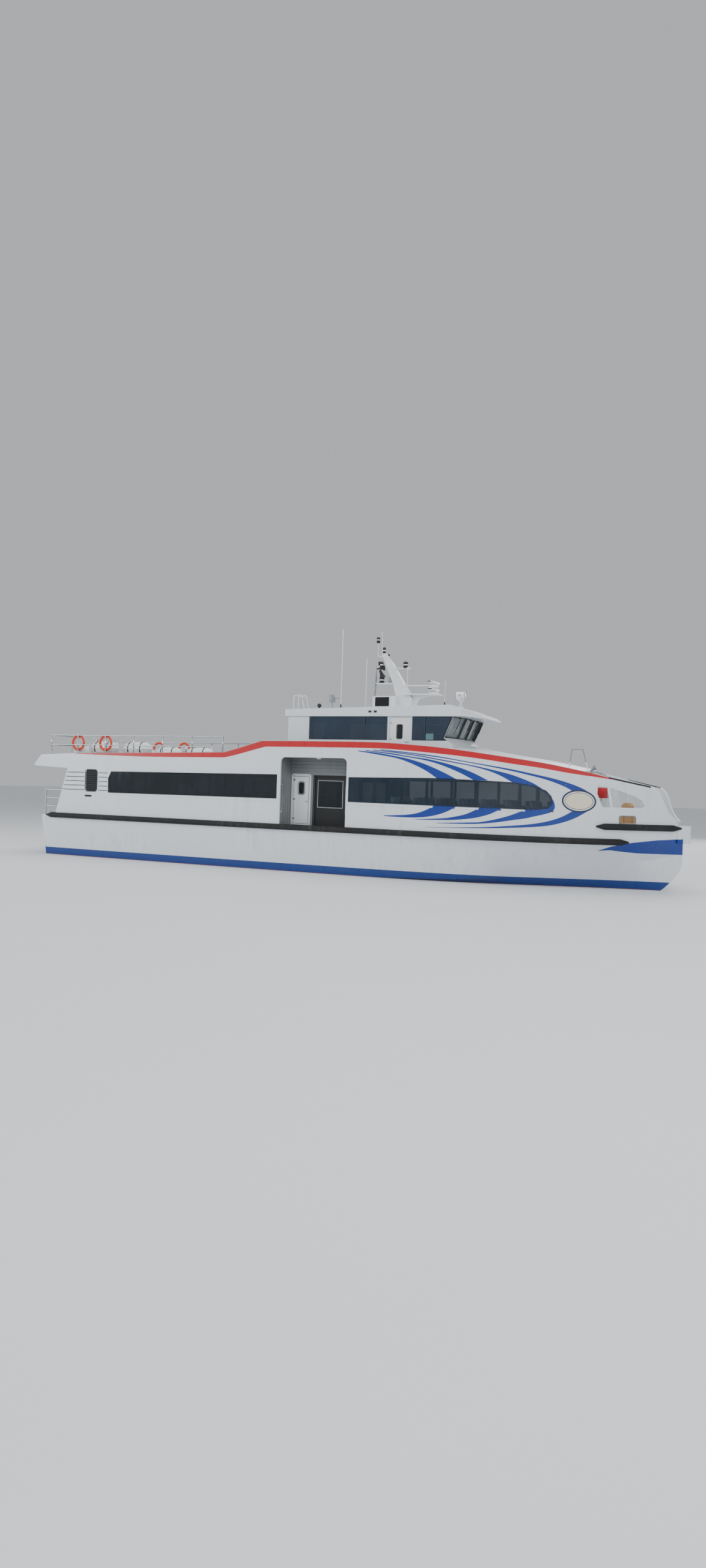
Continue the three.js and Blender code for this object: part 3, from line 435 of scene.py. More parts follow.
def glassMaterial(name, tone, alpha):
    # tinted pane: see-through share set on the shader, faint water marks in its gloss
    sockets = {"IOR": 1.5, "Specular IOR Level": 0.6, "Alpha": alpha}
    material, tree, shader = startMaterial(name, sockets)
    marks = spots(tree, (3.0, 3.0, 1.2), 5.0)
    tint = blendColour(tree, between(tree, marks, 0.4, 0.7), tone, brighter(tone, 1.3))
    tree.links.new(tint, shader.inputs["Base Color"])
    tree.links.new(between(tree, marks, 0.35, 0.75, 0.03, 0.12), shader.inputs["Roughness"])
    return material


cabinGlass = glassMaterial("dark cabin glass", colour(30, 36, 42), 0.72)
foreGlass = glassMaterial("forward cabin glass", colour(37, 51, 65), 0.47)
houseGlass = glassMaterial("blue-grey house glass", colour(50, 64, 80), 0.66)
# the front glass's pale grey-green tone is painted light: it stands for the bright wheelhouse seen
# through the glass
frontGlassPaintedLight = glassMaterial("front glass with painted light", colour(168, 180, 178), 0.42)


def lampMaterial(name, tone, strength):
    sockets = {"Roughness": 0.15, "Emission Strength": strength}
    material, tree, shader = startMaterial(name, sockets)
    shine = blendColour(tree, spots(tree, (20, 20, 20)), tone, brighter(tone, 1.5))
    tree.links.new(shine, shader.inputs["Base Color"])
    tree.links.new(shine, shader.inputs["Emission Color"])
    return material


clearLens = lampMaterial("clear lens", colour(226, 232, 236), 0.1)
ceilingGlow = lampMaterial("ceiling light panel", colour(236, 240, 244), 1.6)
screenGlow = lampMaterial("screen glow", colour(150, 214, 220), 1.6)
print("materials made:", len(bpy.data.materials))


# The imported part's own nodes: smooth plating and their paint
def curveOf(tree, value, rows, inLow, inHigh, outLow, outHigh):
    # a height that follows a drawn curve
    share = between(tree, value, inLow, inHigh)
    node = tree.nodes.new("ShaderNodeFloatCurve")
    tree.links.new(share, node.inputs["Value"])
    curve = node.mapping.curves[0]
    places = [((a - inLow) / (inHigh - inLow), (b - outLow) / (outHigh - outLow)) for a, b in rows]
    curve.points[0].location = places[0]
    curve.points[1].location = places[-1]
    for place in places[1:-1]:
        curve.points.new(*place)
    for point in curve.points:
        point.handle_type = "VECTOR"
    node.mapping.update()
    return between(tree, node.outputs[0], 0.0, 1.0, outLow, outHigh)


def inside(tree, value, low, high):
    above = calc(tree, "GREATER_THAN", value, low)
    below = calc(tree, "LESS_THAN", value, high)
    return calc(tree, "MULTIPLY", above, below)


def layered(name, base, layers, **settings):
    # paint with further tones where a mask says so
    material, tree, shader, tint = paintMaterial(name, colour(*base), colour(*plainDirt), **settings)
    for mask, tone in layers:
        tint = blendColour(tree, mask(tree), tint, colour(*tone))
    tree.links.new(tint, shader.inputs["Base Color"])
    return material


bandShape = {
    "aftLow": [(-9.4, 2.72), (-9.23, 2.725), (-1.42, 2.755)],
    "aftHigh": [(-9.4, 3.1), (-9.33, 3.3), (-9.18, 3.595), (-1.42, 3.665)],
    "foreLow": [(1.5, 2.735), (8.4, 2.705), (8.85, 2.765), (9.0, 2.95)],
    "foreHigh": [
        (1.5, 3.635), (5.0, 3.695), (7.7, 3.625), (8.35, 3.535), (8.78, 3.375), (8.96, 3.175),
        (9.0, 2.95),
    ],
    # where the glass starts and ends along the boat, and the curves' own reach
    "aft": ((-9.33, -1.425), (-9.4, -1.42)),
    "fore": ((1.565, 9.0), (1.5, 9.0)),
}


def betweenCurves(tree, edges, span, reach, heights):
    # on between a low and a high edge, over a span of the boat's length
    place = axes(tree)
    low, high = (curveOf(tree, place["X"], rows, *reach, *heights) for rows in edges)
    along = inside(tree, place["X"], *span)
    return calc(tree, "MULTIPLY", along, inside(tree, place["Z"], low, high))


def behindGlass(tree):
    # the plating is matt black where the glass covers it
    covered = []
    for end in ("aft", "fore"):
        edges = bandShape[end + "Low"], bandShape[end + "High"]
        covered.append(betweenCurves(tree, edges, *bandShape[end], (2.5, 3.9)))
    return calc(tree, "ADD", *covered, clamp=True)


def boxed(xs=(-99, 99), sides=(-1, 99), zs=(-99, 99)):
    # a mask for a box, where sides is the distance from the centreline
    def mask(tree):
        x, y, z = axes(tree)
        total = inside(tree, x, *xs)
        total = calc(tree, "MULTIPLY", total, inside(tree, calc(tree, "ABSOLUTE", y), *sides))
        return calc(tree, "MULTIPLY", total, inside(tree, z, *zs))
    return mask


bowBand = {
    "low": [
        (10.38, 1.36), (10.75, 1.395), (11.1, 1.35), (11.6, 1.305), (12.2, 1.295), (13.3, 1.29),
    ],
    "high": [
        (10.38, 1.372), (10.79, 1.522), (11.17, 1.626), (11.5, 1.69), (12.2, 1.79), (13.0, 1.847),
        (13.3, 1.86),
    ],
    "span": (10.38, 13.03),
    "reach": (10.38, 13.3),
}


def bowStripe(tree):
    edges = bowBand["low"], bowBand["high"]
    return betweenCurves(tree, edges, bowBand["span"], bowBand["reach"], (1.0, 2.0))


def facingUp(low):
    # level surfaces above a height, such as decks
    def mask(tree):
        up = axes(tree, "NewGeometry", "Normal")["Z"]
        level = calc(tree, "GREATER_THAN", up, 0.85)
        return calc(tree, "MULTIPLY", level, calc(tree, "GREATER_THAN", axes(tree)["Z"], low))
    return mask


def belowHeight(low, high):
    return lambda tree: inside(tree, axes(tree)["Z"], low, high)


deckTone, dark = (112, 122, 122), (14, 16, 18)
underGlass = (5.078, 5.962)  # from sill to head of the wheelhouse's side windows
hullLayers = [
    (belowHeight(0.02, 0.3), (20, 58, 130)),
    (belowHeight(-9.0, 0.02), (116, 40, 38)),
    (bowStripe, blue),
    (facingUp(1.6), deckTone),
]
houseLayers = [
    (boxed((-0.735, 2.535), (1.88, 3), underGlass), dark),
    (boxed((3.525, 5.4), (1.88, 3), underGlass), dark),
]
hoopLayers = [(boxed((9.0, 10.0), (0.95, 1.05), (4.42, 5.1)), (142, 146, 146))]
mastLayers = [(boxed((-9, 1.245), zs=(0, 8.2)), (128, 134, 138))]
frontLayers = [(boxed(zs=(5.19, 5.97)), (70, 78, 78))]
hullPaint = layered("hull paint", white, hullLayers, ripple=0.003)
bulwarkPaint = layered("bulwark paint", white, [(bowStripe, blue)], ripple=0.003)
sidePaint = layered("side paint", white, [(behindGlass, dark)], ripple=0.003)
housePaint = layered("wheelhouse side paint", white, houseLayers)
frontPaint = layered("wheelhouse front paint", white, frontLayers)
hoopPaint = layered("whaleback paint", white, hoopLayers)
mastPaint = layered("mast paint", trim, mastLayers)
roofPaint = layered("upper deck paint", white, [(facingUp(4.1), deckTone)], grain=0.002)
paintedNodes = [
    (hullPaint, "hull"), (roofPaint, "cabin_roof"), (sidePaint, "side_aft side_forward"),
    (bulwarkPaint, "bulwark"), (cabinGlass, "glass_aft"), (foreGlass, "glass_forward"),
    (greyPaint, "bay"), (blackTrim, "bay_slider helm_console"), (hoopPaint, "whaleback"),
    (trimPaint, "bay_door foredeck_door aft_door wheelhouse_door searchlight"),
    (whitePaint, "bulkhead_forward bulkhead_aft deckhouse_aft wheelhouse_roof"),
    (frontPaint, "wheelhouse_front"), (frontGlassPaintedLight, "wheelhouse_glass"),
    (housePaint, "wheelhouse_side"), (seatCloth, "seats_aft seats_forward"),
    (engineEnamel, "engine"), (deckPaint, "engine_hatch"), (bronzeMetal, "propeller"),
    (greyMetal, "rudder aft_stair"), (rubber, "fender_lower fender_upper"),
    (steelMetal, "rail rail_stern"), (whitePlastic, "liferafts radar_low radar_high"),
    (mastPaint, "mast"), (ochrePaint, "windlass bitts"),
]
nodePaint = {name: tone for tone, names in paintedNodes for name in names.split()}
# the angle between faces above which an edge stays crisp, in degrees
crispFrom = {"wheelhouse_roof": 35, "fender_lower": 50, "fender_upper": 50, "plain": 24}
roundish = "rail rail_stern mast searchlight windlass bitts aft_stair liferafts whaleback"
crispFrom.update((name, 62) for name in roundish.split())
for name, node in nodes.items():
    family = name.removesuffix("_port").removesuffix("_starboard")
    node.data.materials.clear()
    node.data.materials.append(nodePaint[family])
    pick(node)
    bpy.ops.mesh.customdata_custom_splitnormals_clear()
    bpy.ops.object.shade_smooth()
    weld = node.modifiers.new("Weld", "WELD")
    weld.merge_threshold = 0.0003
    split = node.modifiers.new("Split", "EDGE_SPLIT")
    split.split_angle = math.radians(crispFrom.get(family, crispFrom["plain"]))
print("packed nodes painted")


# The side's own surface, which the painted bands lie on
sheerLine = [
    (1.47, 4.95), (2.6, 4.94), (5.4, 4.75), (8.62, 4.33), (10.28, 4.01), (10.88, 3.85),
    (12.05, 3.6), (13.0, 3.42),
]
sideShape = {
    "flat": (1.47, 3.1),  # aft of this the side is upright, at this half breadth
    "deckLine": 1.69,
    "stem": 12.99,
    "seam": 9.95,  # between the side and the bulwark, stepped over by the gap
    "gap": 0.006,
    "side": (1.9, 0.12),  # foot, and distance under the sheer line, of plating clear of windows
    "bulwark": (1.9, 2.75),
    "nose": (12.4, 1.75, 2.3),
}


def onLine(rows, x):
    for (x0, z0), (x1, z1) in zip(rows, rows[1:]):
        if x <= x1:
            return z0 + (z1 - z0) * max(0.0, x - x0) / (x1 - x0)
    return rows[-1][1]


def castY(node, x, z):
    hit, place = nodes[node].ray_cast(Vector((x, 8, z)), Vector((0, -1, 0)))[:2]
    return place.y if hit else None


def skinY(x, z):
    # half breadth of the plating, also across its windows
    deckLine, stem = sideShape["deckLine"], sideShape["stem"]
    seam, gap = sideShape["seam"], sideShape["gap"]
    if x < sideShape["flat"][0] and z > 1.7:
        return sideShape["flat"][1]
    if z < deckLine:
        return castY("hull", x, z) or castY("hull", stem, z)
    if abs(x - seam) < gap:
        share = (x - seam + gap) / (2 * gap)
        near, far = skinY(seam - 1.01 * gap, z), skinY(seam + 1.01 * gap, z)
        return near * (1 - share) + far * share
    hits = [castY(node, x, z) for node in ("side_forward_port", "bulwark_port")]
    hits = [y for y in hits if y and y > 0.1]
    low, under = sideShape["side"]
    node, high = "side_forward_port", onLine(sheerLine, x) - under
    if x > seam:
        node, (low, high) = "bulwark_port", sideShape["bulwark"]
    if x > sideShape["nose"][0]:
        low, high = sideShape["nose"][1:]
    a, b = castY(node, x, low), castY(node, x, high)
    if a is None or b is None:
        return max(hits, default=castY("hull", min(x, stem), min(z, deckLine)))
    return max([*hits, a + (b - a) * (z - low) / (high - low)])


def spread(rows, count):
    # evenly spaced points on a smooth curve through the rows
    fine = []
    for i in range(len(rows) - 1):
        a = Vector(rows[max(i - 1, 0)])
        b, c = Vector(rows[i]), Vector(rows[i + 1])
        d = Vector(rows[min(i + 2, len(rows) - 1)])
        for k in range(16):
            t = k / 16
            square, cube = 2 * a - 5 * b + 4 * c - d, 3 * b - a - 3 * c + d
            fine.append(0.5 * (2 * b + (c - a) * t + square * t**2 + cube * t**3))
    fine.append(Vector(rows[-1]))
    run = [0.0]
    for a, b in zip(fine, fine[1:]):
        run.append(run[-1] + (b - a).length)
    made, k = [], 0
    for i in range(count + 1):
        want = run[-1] * i / count
        while k < len(run) - 2 and run[k + 1] < want:
            k += 1
        t = (want - run[k]) / max(run[k + 1] - run[k], 1e-9)
        made.append(fine[k].lerp(fine[k + 1], t))
    return made


def film(count, across, thick, spot):
    # a grid laid on the port side: spot gives x, z and lift for each point, from 0 to 1 both ways
    deselect()
    bpy.ops.mesh.primitive_grid_add(x_subdivisions=count, y_subdivisions=across, size=2)
    obj = fresh()
    for vertex in obj.data.vertices:
        x, z, lift = spot((vertex.co.x + 1) / 2, (vertex.co.y + 1) / 2)
        vertex.co = (x, skinY(x, z) + lift, z)
    modify(obj, "SOLIDIFY", thickness=thick, offset=0)
    return outward(obj)


def paintedBand(low, high, count, lift=0.002, across=3, thick=0.003):
    # paint between two edges, given as x and z
    lowEdge, highEdge = spread(low, count), spread(high, count)

    def spot(along, share):
        along, share = min(max(along, 0), 1) * count, min(max(share, 0), 1)
        i = min(int(along), count - 1)
        a = lowEdge[i].lerp(lowEdge[i + 1], along - i)
        b = highEdge[i].lerp(highEdge[i + 1], along - i)
        return *a.lerp(b, share), lift

    return film(count, across, thick, spot)


redBand = {
    "aftLow": [(-11.14, 4.3), (-10.0, 4.275), (-7.47, 4.235), (-5.5, 4.25), (-3.78, 4.268)],
    "aftHigh": [(-11.14, 4.312), (-10.0, 4.34), (-7.47, 4.395), (-5.5, 4.436), (-3.78, 4.473)],
    "rampLow": [(-3.78, 4.268), (-3.2, 4.395), (-2.35, 4.618), (-1.95, 4.715)],
    "rampHigh": [(-3.78, 4.473), (-3.2, 4.63), (-2.5, 4.83), (-2.13, 4.935)],
    "foreLow": [
        (-1.95, 4.715), (0.3, 4.722), (2.6, 4.714), (3.83, 4.652), (5.42, 4.525), (6.58, 4.401),
        (7.66, 4.257), (8.61, 4.14), (9.53, 3.993), (10.3, 3.9), (10.86, 3.825),
    ],
    "foreHigh": [
        (-2.13, 4.935), (0.3, 4.945), (2.6, 4.934), (4.0, 4.86), (5.4, 4.743), (7.0, 4.545),
        (8.62, 4.323), (9.5, 4.165), (10.28, 4.003), (10.9, 3.838),
    ],
}
bands = []
for part, count in (("aft", 30), ("ramp", 8), ("fore", 110)):
    bands.append(paintedBand(redBand[part + "Low"], redBand[part + "High"], count))
pair(bands, "red_band", redPaint)

# Blue bands sweep round the forward windows. Each is a low and a high edge as x and z
blueBands = {
    "upper_first": (
        [(1.9, 4.6), (2.62, 4.497), (3.46, 4.362), (4.04, 4.175), (4.57, 3.937), (4.97, 3.685)],
        [(1.9, 4.628), (2.62, 4.56), (3.29, 4.459), (3.86, 4.363), (4.39, 4.222), (4.76, 4.091),
         (5.23, 3.897), (5.68, 3.68)],
    ),
    "upper_second": (
        [(2.2, 4.62), (3.25, 4.497), (3.86, 4.415), (4.43, 4.33), (4.9, 4.225), (5.38, 4.07),
         (5.85, 3.882), (6.29, 3.665)],
        [(2.2, 4.648), (3.25, 4.545), (3.86, 4.455), (4.58, 4.366), (5.06, 4.275), (5.45, 4.185),
         (5.92, 4.048), (6.38, 3.872), (6.82, 3.66)],
    ),
    "upper_third": (
        [(2.5, 4.64), (3.4, 4.555), (4.34, 4.44), (5.06, 4.325), (5.6, 4.245), (6.21, 4.145),
         (6.81, 4.0), (7.26, 3.828), (7.72, 3.58)],
        [(2.5, 4.668), (3.4, 4.592), (4.34, 4.478), (5.06, 4.366), (5.98, 4.222), (6.44, 4.142),
         (7.03, 4.022), (7.54, 3.907), (7.97, 3.768), (8.34, 3.6)],
    ),
    "upper_outer": (
        [(2.8, 4.655), (4.0, 4.54), (5.06, 4.42), (5.99, 4.285), (6.96, 4.13), (7.7, 3.995),
         (8.43, 3.835), (8.81, 3.737), (9.11, 3.637), (9.4, 3.517), (9.63, 3.39)],
        [(2.8, 4.682), (4.0, 4.578), (5.05, 4.46), (5.98, 4.318), (6.95, 4.175), (7.68, 4.063),
         (8.47, 3.91), (9.02, 3.795), (9.51, 3.659), (9.92, 3.5), (10.2, 3.33)],
    ),
    "window_tip": (
        [(7.78, 3.56), (8.3, 3.49), (8.68, 3.34), (8.87, 3.15), (8.92, 2.95), (8.8, 2.79), (8.3, 2.73)],
        [(7.97, 3.768), (8.38, 3.6), (8.75, 3.35), (8.98, 3.1), (9.06, 2.9), (9.03, 2.73), (8.85, 2.6)],
    ),
    "lower_first": (
        [(3.0, 2.275), (3.56, 2.262), (4.21, 2.27), (4.69, 2.325), (5.11, 2.43), (5.46, 2.575),
         (5.76, 2.76)],
        [(3.0, 2.3), (3.39, 2.32), (3.88, 2.36), (4.28, 2.437), (4.6, 2.56), (4.86, 2.7), (4.94, 2.76)],
    ),
    "lower_second": (
        [(4.2, 2.2), (5.32, 2.228), (5.78, 2.262), (6.27, 2.328), (6.6, 2.405), (6.96, 2.53),
         (7.33, 2.74)],
        [(4.2, 2.215), (5.16, 2.285), (5.54, 2.34), (6.0, 2.453), (6.29, 2.577), (6.51, 2.697),
         (6.62, 2.76)],
    ),
    "lower_third": (
        [(5.0, 2.1), (6.31, 2.135), (7.04, 2.212), (7.54, 2.3), (8.1, 2.4), (8.32, 2.46),
         (8.73, 2.57), (8.95, 2.66)],
        [(5.0, 2.115), (6.31, 2.19), (6.68, 2.237), (7.11, 2.337), (7.53, 2.466), (7.88, 2.608),
         (8.12, 2.716), (8.3, 2.77)],
    ),
    "lower_outer": (
        [(4.6, 1.95), (5.6, 1.965), (6.69, 2.003), (7.46, 2.044), (8.11, 2.092), (8.46, 2.125),
         (8.87, 2.185), (9.32, 2.308), (9.72, 2.479), (10.1, 2.72)],
        [(4.6, 1.96), (5.6, 1.985), (6.69, 2.043), (7.46, 2.114), (8.12, 2.19), (8.54, 2.262),
         (8.95, 2.368), (9.31, 2.516), (9.63, 2.71)],
    ),
}
blueParts = [
    paintedBand(low, high, 60, lift=0.0015 + 0.0002 * i)
    for i, (low, high) in enumerate(blueBands.values())
]
pair(blueParts, "blue_band", bluePaint)


# The oval badge, left bare
badge = {"x": 9.83, "z": 3.055, "wide": 0.545, "high": 0.385}


def oval(grow, lift):
    def spot(u, v):
        # a square grid drawn into an ellipse
        u, v = 2 * u - 1, 2 * v - 1
        x = badge["x"] + (badge["wide"] + grow) * u * math.sqrt(1 - v * v / 2)
        return x, badge["z"] + (badge["high"] + grow) * v * math.sqrt(1 - u * u / 2), lift

    return film(28, 28, 0.005, spot)


rings = [(0.0, navyPaint), (-0.055, trimPaint), (-0.092, navyPaint), (-0.11, creamPaint)]
for number, (grow, tone) in enumerate(rings):
    pair(oval(grow, 0.003 + 0.0012 * number), "badge_ring_" + str(number), tone)
print("bands painted")


# Ledges under the window bands, painted across by the blue bands
ledge = {
    "fore": ((1.5, 8.3), 2.64),
    "aft": ((-9.2, -1.44), 2.655),
    "high": 0.045,
    "proud": 0.024,
    "blue": [(4.84, 5.65), (6.5, 7.29), (8.09, 8.4)],
}


def ledgeBlue(tree):
    # on between each pair of places along the boat
    x = axes(tree)["X"]
    first, *others = (inside(tree, x, *span) for span in ledge["blue"])
    for other in others:
        first = calc(tree, "ADD", first, other)
    return first


def windowLedge(span, low):
    lines = [[(x, z) for x in span] for z in (low, low + ledge["high"])]
    return paintedBand(*lines, 70, lift=ledge["proud"] / 2, across=1, thick=ledge["proud"])


ledges = [windowLedge(*ledge[end]) for end in ("fore", "aft")]
pair(ledges, "window_ledge", layered("ledge paint", trim, [(ledgeBlue, blue)]))


# Air intake of the engine room, with pressed grooves to both sides
intake = {
    "box": (-10.48, -9.9, 2.76, 3.64),
    "corner": 0.11,
    "rim": 0.028,
    "slats": 10,
    "face": 3.1003,
    "grooves": [2.79, 2.97, 3.15, 3.33, 3.51],
    "shade": 0.028,
    "lip": 0.046,
    "fore": (-9.81, -9.36),
    "slot": (-10.5, -10.15, 2.52, 2.6),
}


def makeIntake():
    box, rim, corner, face = (intake[key] for key in ("box", "rim", "corner", "face"))
    x0, x1, z0, z1 = box
    parts = [roundFrame(grown(box, rim), corner + rim, rim, 1, face, 3.112)]
    parts.append(roundPlate(grown(box, -0.003), corner, 1, 3.0703, 3.074))
    pitch = (z1 - z0) / intake["slats"]
    for i in range(intake["slats"]):
        z = z0 + pitch * (i + 0.5)
        side = 0.03 if 0 < i < intake["slats"] - 1 else 0.08  # shorter by the round corners
        low, high = (x0 + side, 3.078, z - 0.004), (x1 - side, 3.112, z + 0.004)
        parts.append(block(low, high, turn=(-0.7, 0, 0)))
    parts.append(roundFrame(intake["slot"], 0.03, 0.012, 1, face, 3.108))
    parts.append(roundPlate(grown(intake["slot"], -0.01), 0.02, 1, 3.1002, 3.103))
    pair(parts, "intake_grille", blackTrim)
    lips, shades = [], []
    for z in intake["grooves"]:
        aftEnd = -12.0 + (z - 1.7) * 0.3015  # along the slanted end of the plating
        middle, top = z + intake["shade"], z + intake["lip"]
        for a, b in [(aftEnd, x0 - 0.06), intake["fore"]]:
            shades.append(block((a, 3.1002, z), (b, 3.1035, middle), 0.0012, 1))
            lips.append(block((a, 3.1002, middle), (b, 3.114, top), 0.005))
    pair(lips, "groove_lips", whitePaint)
    pair(shades, "groove_shades", blackTrim)


makeIntake()

# Boarding bay: frames, ribs, grab rails, lamp
bayTrim = {
    "wall": 2.2,
    "door": (-1.21, -0.46, 1.76, 3.68),
    "slide": (-0.28, 1.03, 1.76, 3.65),
    "frame": 0.04,
    "proud": 0.013,
    "ribs": [3.8, 3.93, 4.06, 4.19],
    "endRibs": [2.4, 2.6, 2.8],
    "endWalls": ((-1.281, 1), (1.4705, -1)),
    "grab": {"y": 2.985, "heights": (2.25, 3.3), "off": 0.05, "radius": 0.016},
    "lamp": ([(0, 4.331), (0.1, 4.331), (0.1, 4.31), (0.075, 4.295), (0, 4.29)], (0.1, 2.65, 0)),
}


def makeBay():
    wall, wide = bayTrim["wall"], bayTrim["frame"]
    face = wall + 0.0003
    for part, corner, tone in (("door", 0.09, trimPaint), ("slide", 0.03, blackTrim)):
        box = grown(bayTrim[part], wide)
        ring = roundFrame(box, corner, wide, 1, face, face + bayTrim["proud"])
        pair(ring, "bay_" + part + "_frame", tone)
    ribs = []
    for z in bayTrim["ribs"]:
        ribs.append(block((-1.27, wall - 0.001, z), (1.46, wall + 0.012, z + 0.025), 0.005))
    for y in bayTrim["endRibs"]:
        for low, high in ((-1.281, -1.268), (1.458, 1.4705)):
            ribs.append(block((low, y, 1.76), (high, y + 0.03, 4.28), 0.005))
    pair(ribs, "bay_ribs", greyPaint)
    grab, rails = bayTrim["grab"], []
    y, (low, high) = grab["y"], grab["heights"]
    for x, way in bayTrim["endWalls"]:
        out = x + way * grab["off"]
        run = [(x, y, low), (out, y, low), (out, y, high), (x, y, high)]
        rails.append(pipe(softCorners(run, 0.03), grab["radius"]))
        for z in (low, high):
            rails.append(drum((x, y, z), (x + way * 0.006, y, z), 0.034, bevel=0.002))
    pair(rails, "bay_grab_rails", steelMetal)
    pair(turned(*bayTrim["lamp"]), "bay_lamp", clearLens)


def doorFittings(lever, rose, hinges, low, high):
    # a lever on its rose, and hinge plates from low to high as x and y
    parts = [pipe(softCorners(lever, 0.02), 0.0105), drum(*rose, 0.03, bevel=0.002)]
    for z in hinges:
        parts.append(block((*low, z), (*high, z + 0.055), 0.002))
    return parts


bayDoor = {
    "leaf": 2.1952,
    "seal": (-1.165, -0.505, 1.805, 3.635),
    "port": (-0.985, -0.685, 2.915, 3.435),
    "lever": (-0.535, -0.65, 2.68),
    "hinges": [1.98, 2.72, 3.46],
    "slidePort": (-0.158, 0.908, 2.452, 3.498),
}


def makeBayDoors():
    leaf, port, slidePort = bayDoor["leaf"], bayDoor["port"], bayDoor["slidePort"]
    door, slider = "bay_door_SIDE", "bay_slider_SIDE"
    seal = roundFrame(bayDoor["seal"], 0.09, 0.014, 1, leaf, leaf + 0.004)
    bead = roundFrame(port, 0.085, 0.022, 1, leaf, leaf + 0.008)
    pair([seal, bead], "bay_door_seals", blackTrim, door)
    pane = roundPlate(grown(port, -0.037), 0.058, 1, leaf - 0.022, leaf - 0.015)
    pair(pane, "bay_door_pane", cabinGlass, door)
    x, grip, z = bayDoor["lever"]
    lever = [(x, leaf, z), (x, leaf + 0.045, z), (grip, leaf + 0.045, z - 0.005)]
    rose, low, high = (lever[0], (x, leaf + 0.01, z)), (-1.19, leaf - 0.001), (-1.09, leaf + 0.006)
    fittings = doorFittings(lever, rose, bayDoor["hinges"], low, high)
    pair(fittings, "bay_door_handle", steelMetal, door)
    glass = roundPlate(slidePort, 0.01, 1, 2.116, 2.124)
    pair(glass, "bay_slider_pane", cabinGlass, slider)
    bead = roundFrame(grown(slidePort, 0.001), 0.012, 0.022, 1, 2.125, 2.139)
    pair(bead, "bay_slider_bead", steelMetal, slider)


makeBay()
makeBayDoors()
print("sides and boarding bays dressed")

# Bow: edge of the small mooring hole, a dark rounded bar along the bulwark's top, ribs inside it, badge
# hook
bow = {
    "hole": (11.08, 11.58, 2.33, 2.6, 0.06),
    "holeRim": 0.02,
    # points of the dark rounded bar along the bulwark's top, as x and z
    "cap": [(10.75, 3.875), (11.2, 3.78), (11.6, 3.695), (12.02, 3.607)],
    "frontEdge": [
        (12.06, 3.598), (12.16, 3.52), (12.26, 3.42), (12.32, 3.31), (12.37, 3.18), (12.43, 3.02),
        (12.5, 2.86), (12.59, 2.7), (12.7, 2.56), (12.84, 2.44),
    ],
    "wall": 0.06,
    "ribs": [10.18, 10.95, 11.75, 12.15],
    "hook": (8.9, 9.03, 2.66, 2.69),
}


def onSkin(points, out):
    return [(x, skinY(x, z) + out, z) for x, z in points]


def makeBow():
    outline = roundedBox(*bow["hole"], steps=4)
    rims = [pipe(onSkin(outline, out), bow["holeRim"], closed=True) for out in (-0.004, -0.055)]
    pair(rims, "mooring_hole_rim", greyMetal)
    x0, x1, z0, z1 = bow["hook"]
    skin = skinY(x0, z0)
    # a dark rounded bar along the bulwark's top edge, and the badge hook
    darkTopBars = [pipe(onSkin(bow["cap"], -0.028), 0.034, sides=3)]
    darkTopBars.append(block((x0, skin - 0.03, z0), (x1, skin + 0.02, z1), 0.008))
    pair(darkTopBars, "bulwark_dark_top_bar", blackTrim)
    edge = pipe(onSkin(bow["frontEdge"], -bow["wall"] / 2), 0.038, sides=3)
    pair(edge, "bulwark_front_edge", trimPaint)
    ribs = []
    for x in bow["ribs"]:
        foot, head = 2.26, 3.4 if x > 12 else onLine(sheerLine, x) - 0.06
        low, high = (skinY(x, z) - bow["wall"] - 0.002 for z in (foot, head))
        outline = [(low, foot), (high, head), (high - 0.03, head), (low - 0.16, foot)]
        ribs.append(plate(outline, 0, x - 0.005, x + 0.005))
    pair(ribs, "bulwark_ribs", whitePaint)


makeBow()

# Wheelhouse: panes, door trim, beads and wipers on the front
house = {
    "skin": (1.9005, 1.9085),
    "sill": 5.078,
    "head": 5.962,
    "uprights": [(-0.735, 1.63), (1.65, 2.535), (3.525, 4.05)],
    "slanted": [(4.07, 4.7), (4.07, 5.06)],  # low and high edge of the foremost pane
    "rear": ((0.165, 1.335, 5.075, 5.965), 0.05, 0, -1.6585, -1.6505),
    "saloon": ((1.06, 2.54, 2.71, 3.64), 0.06, 0, -11.3985, -11.3905),
    "aftDoor": ((-0.255, 0.255, 2.825, 3.525), 0.04, 0, -11.3925, -11.3855),
    "door": (2.585, 3.495, 4.245, 5.965),
    "port": (2.905, 3.155, 5.125, 5.675),
    "lever": [(3.38, 1.895, 5.02), (3.38, 1.935, 5.02), (3.26, 1.935, 5.015)],
    "rose": [(3.38, 1.8951, 5.02), (3.38, 1.903, 5.02)],
    "hinges": ([4.5, 5.1, 5.7], (2.64, 1.8945), (2.72, 1.901)),
    "beads": [-0.92, 0.0, 0.92],
    "wipers": [-1.38, -0.46, 0.46, 1.38],
    "fascia": [1.78, 2.0],
}


# the leaning front, which bends back from halfway to its outer corners
frontShape = {"x": 4.99, "foot": 5.17, "tall": 0.83, "lean": 0.35, "half": 1.8397, "bend": 0.23}


def frontX(y, z, out=0.0):
    lean = frontShape["lean"] * (z - frontShape["foot"]) / frontShape["tall"]
    bend = frontShape["bend"] * max(0.0, abs(y) / frontShape["half"] * 2 - 1)
    return frontShape["x"] + lean - bend + out


def makeHouseGlass():
    low, high, (a, b), (c, d) = house["sill"], house["head"], *house["slanted"]
    outlines = [[(a, low), (b, low), (b, high), (a, high)] for a, b in house["uprights"]]
    outlines.append([(a, low), (b, low), (d, high), (c, high)])
    panes = [plate(line, 1, *house["skin"], 0.002) for line in outlines]
    pair(panes, "house_panes", houseGlass)
    pair(roundPlate(*house["rear"]), "house_rear_pane", houseGlass)
    pair(roundPlate(*house["saloon"]), "saloon_rear_pane", cabinGlass)
    door = roundPlate(*house["aftDoor"])
    piece(door, "aft_door_pane", cabinGlass, "aft_door")


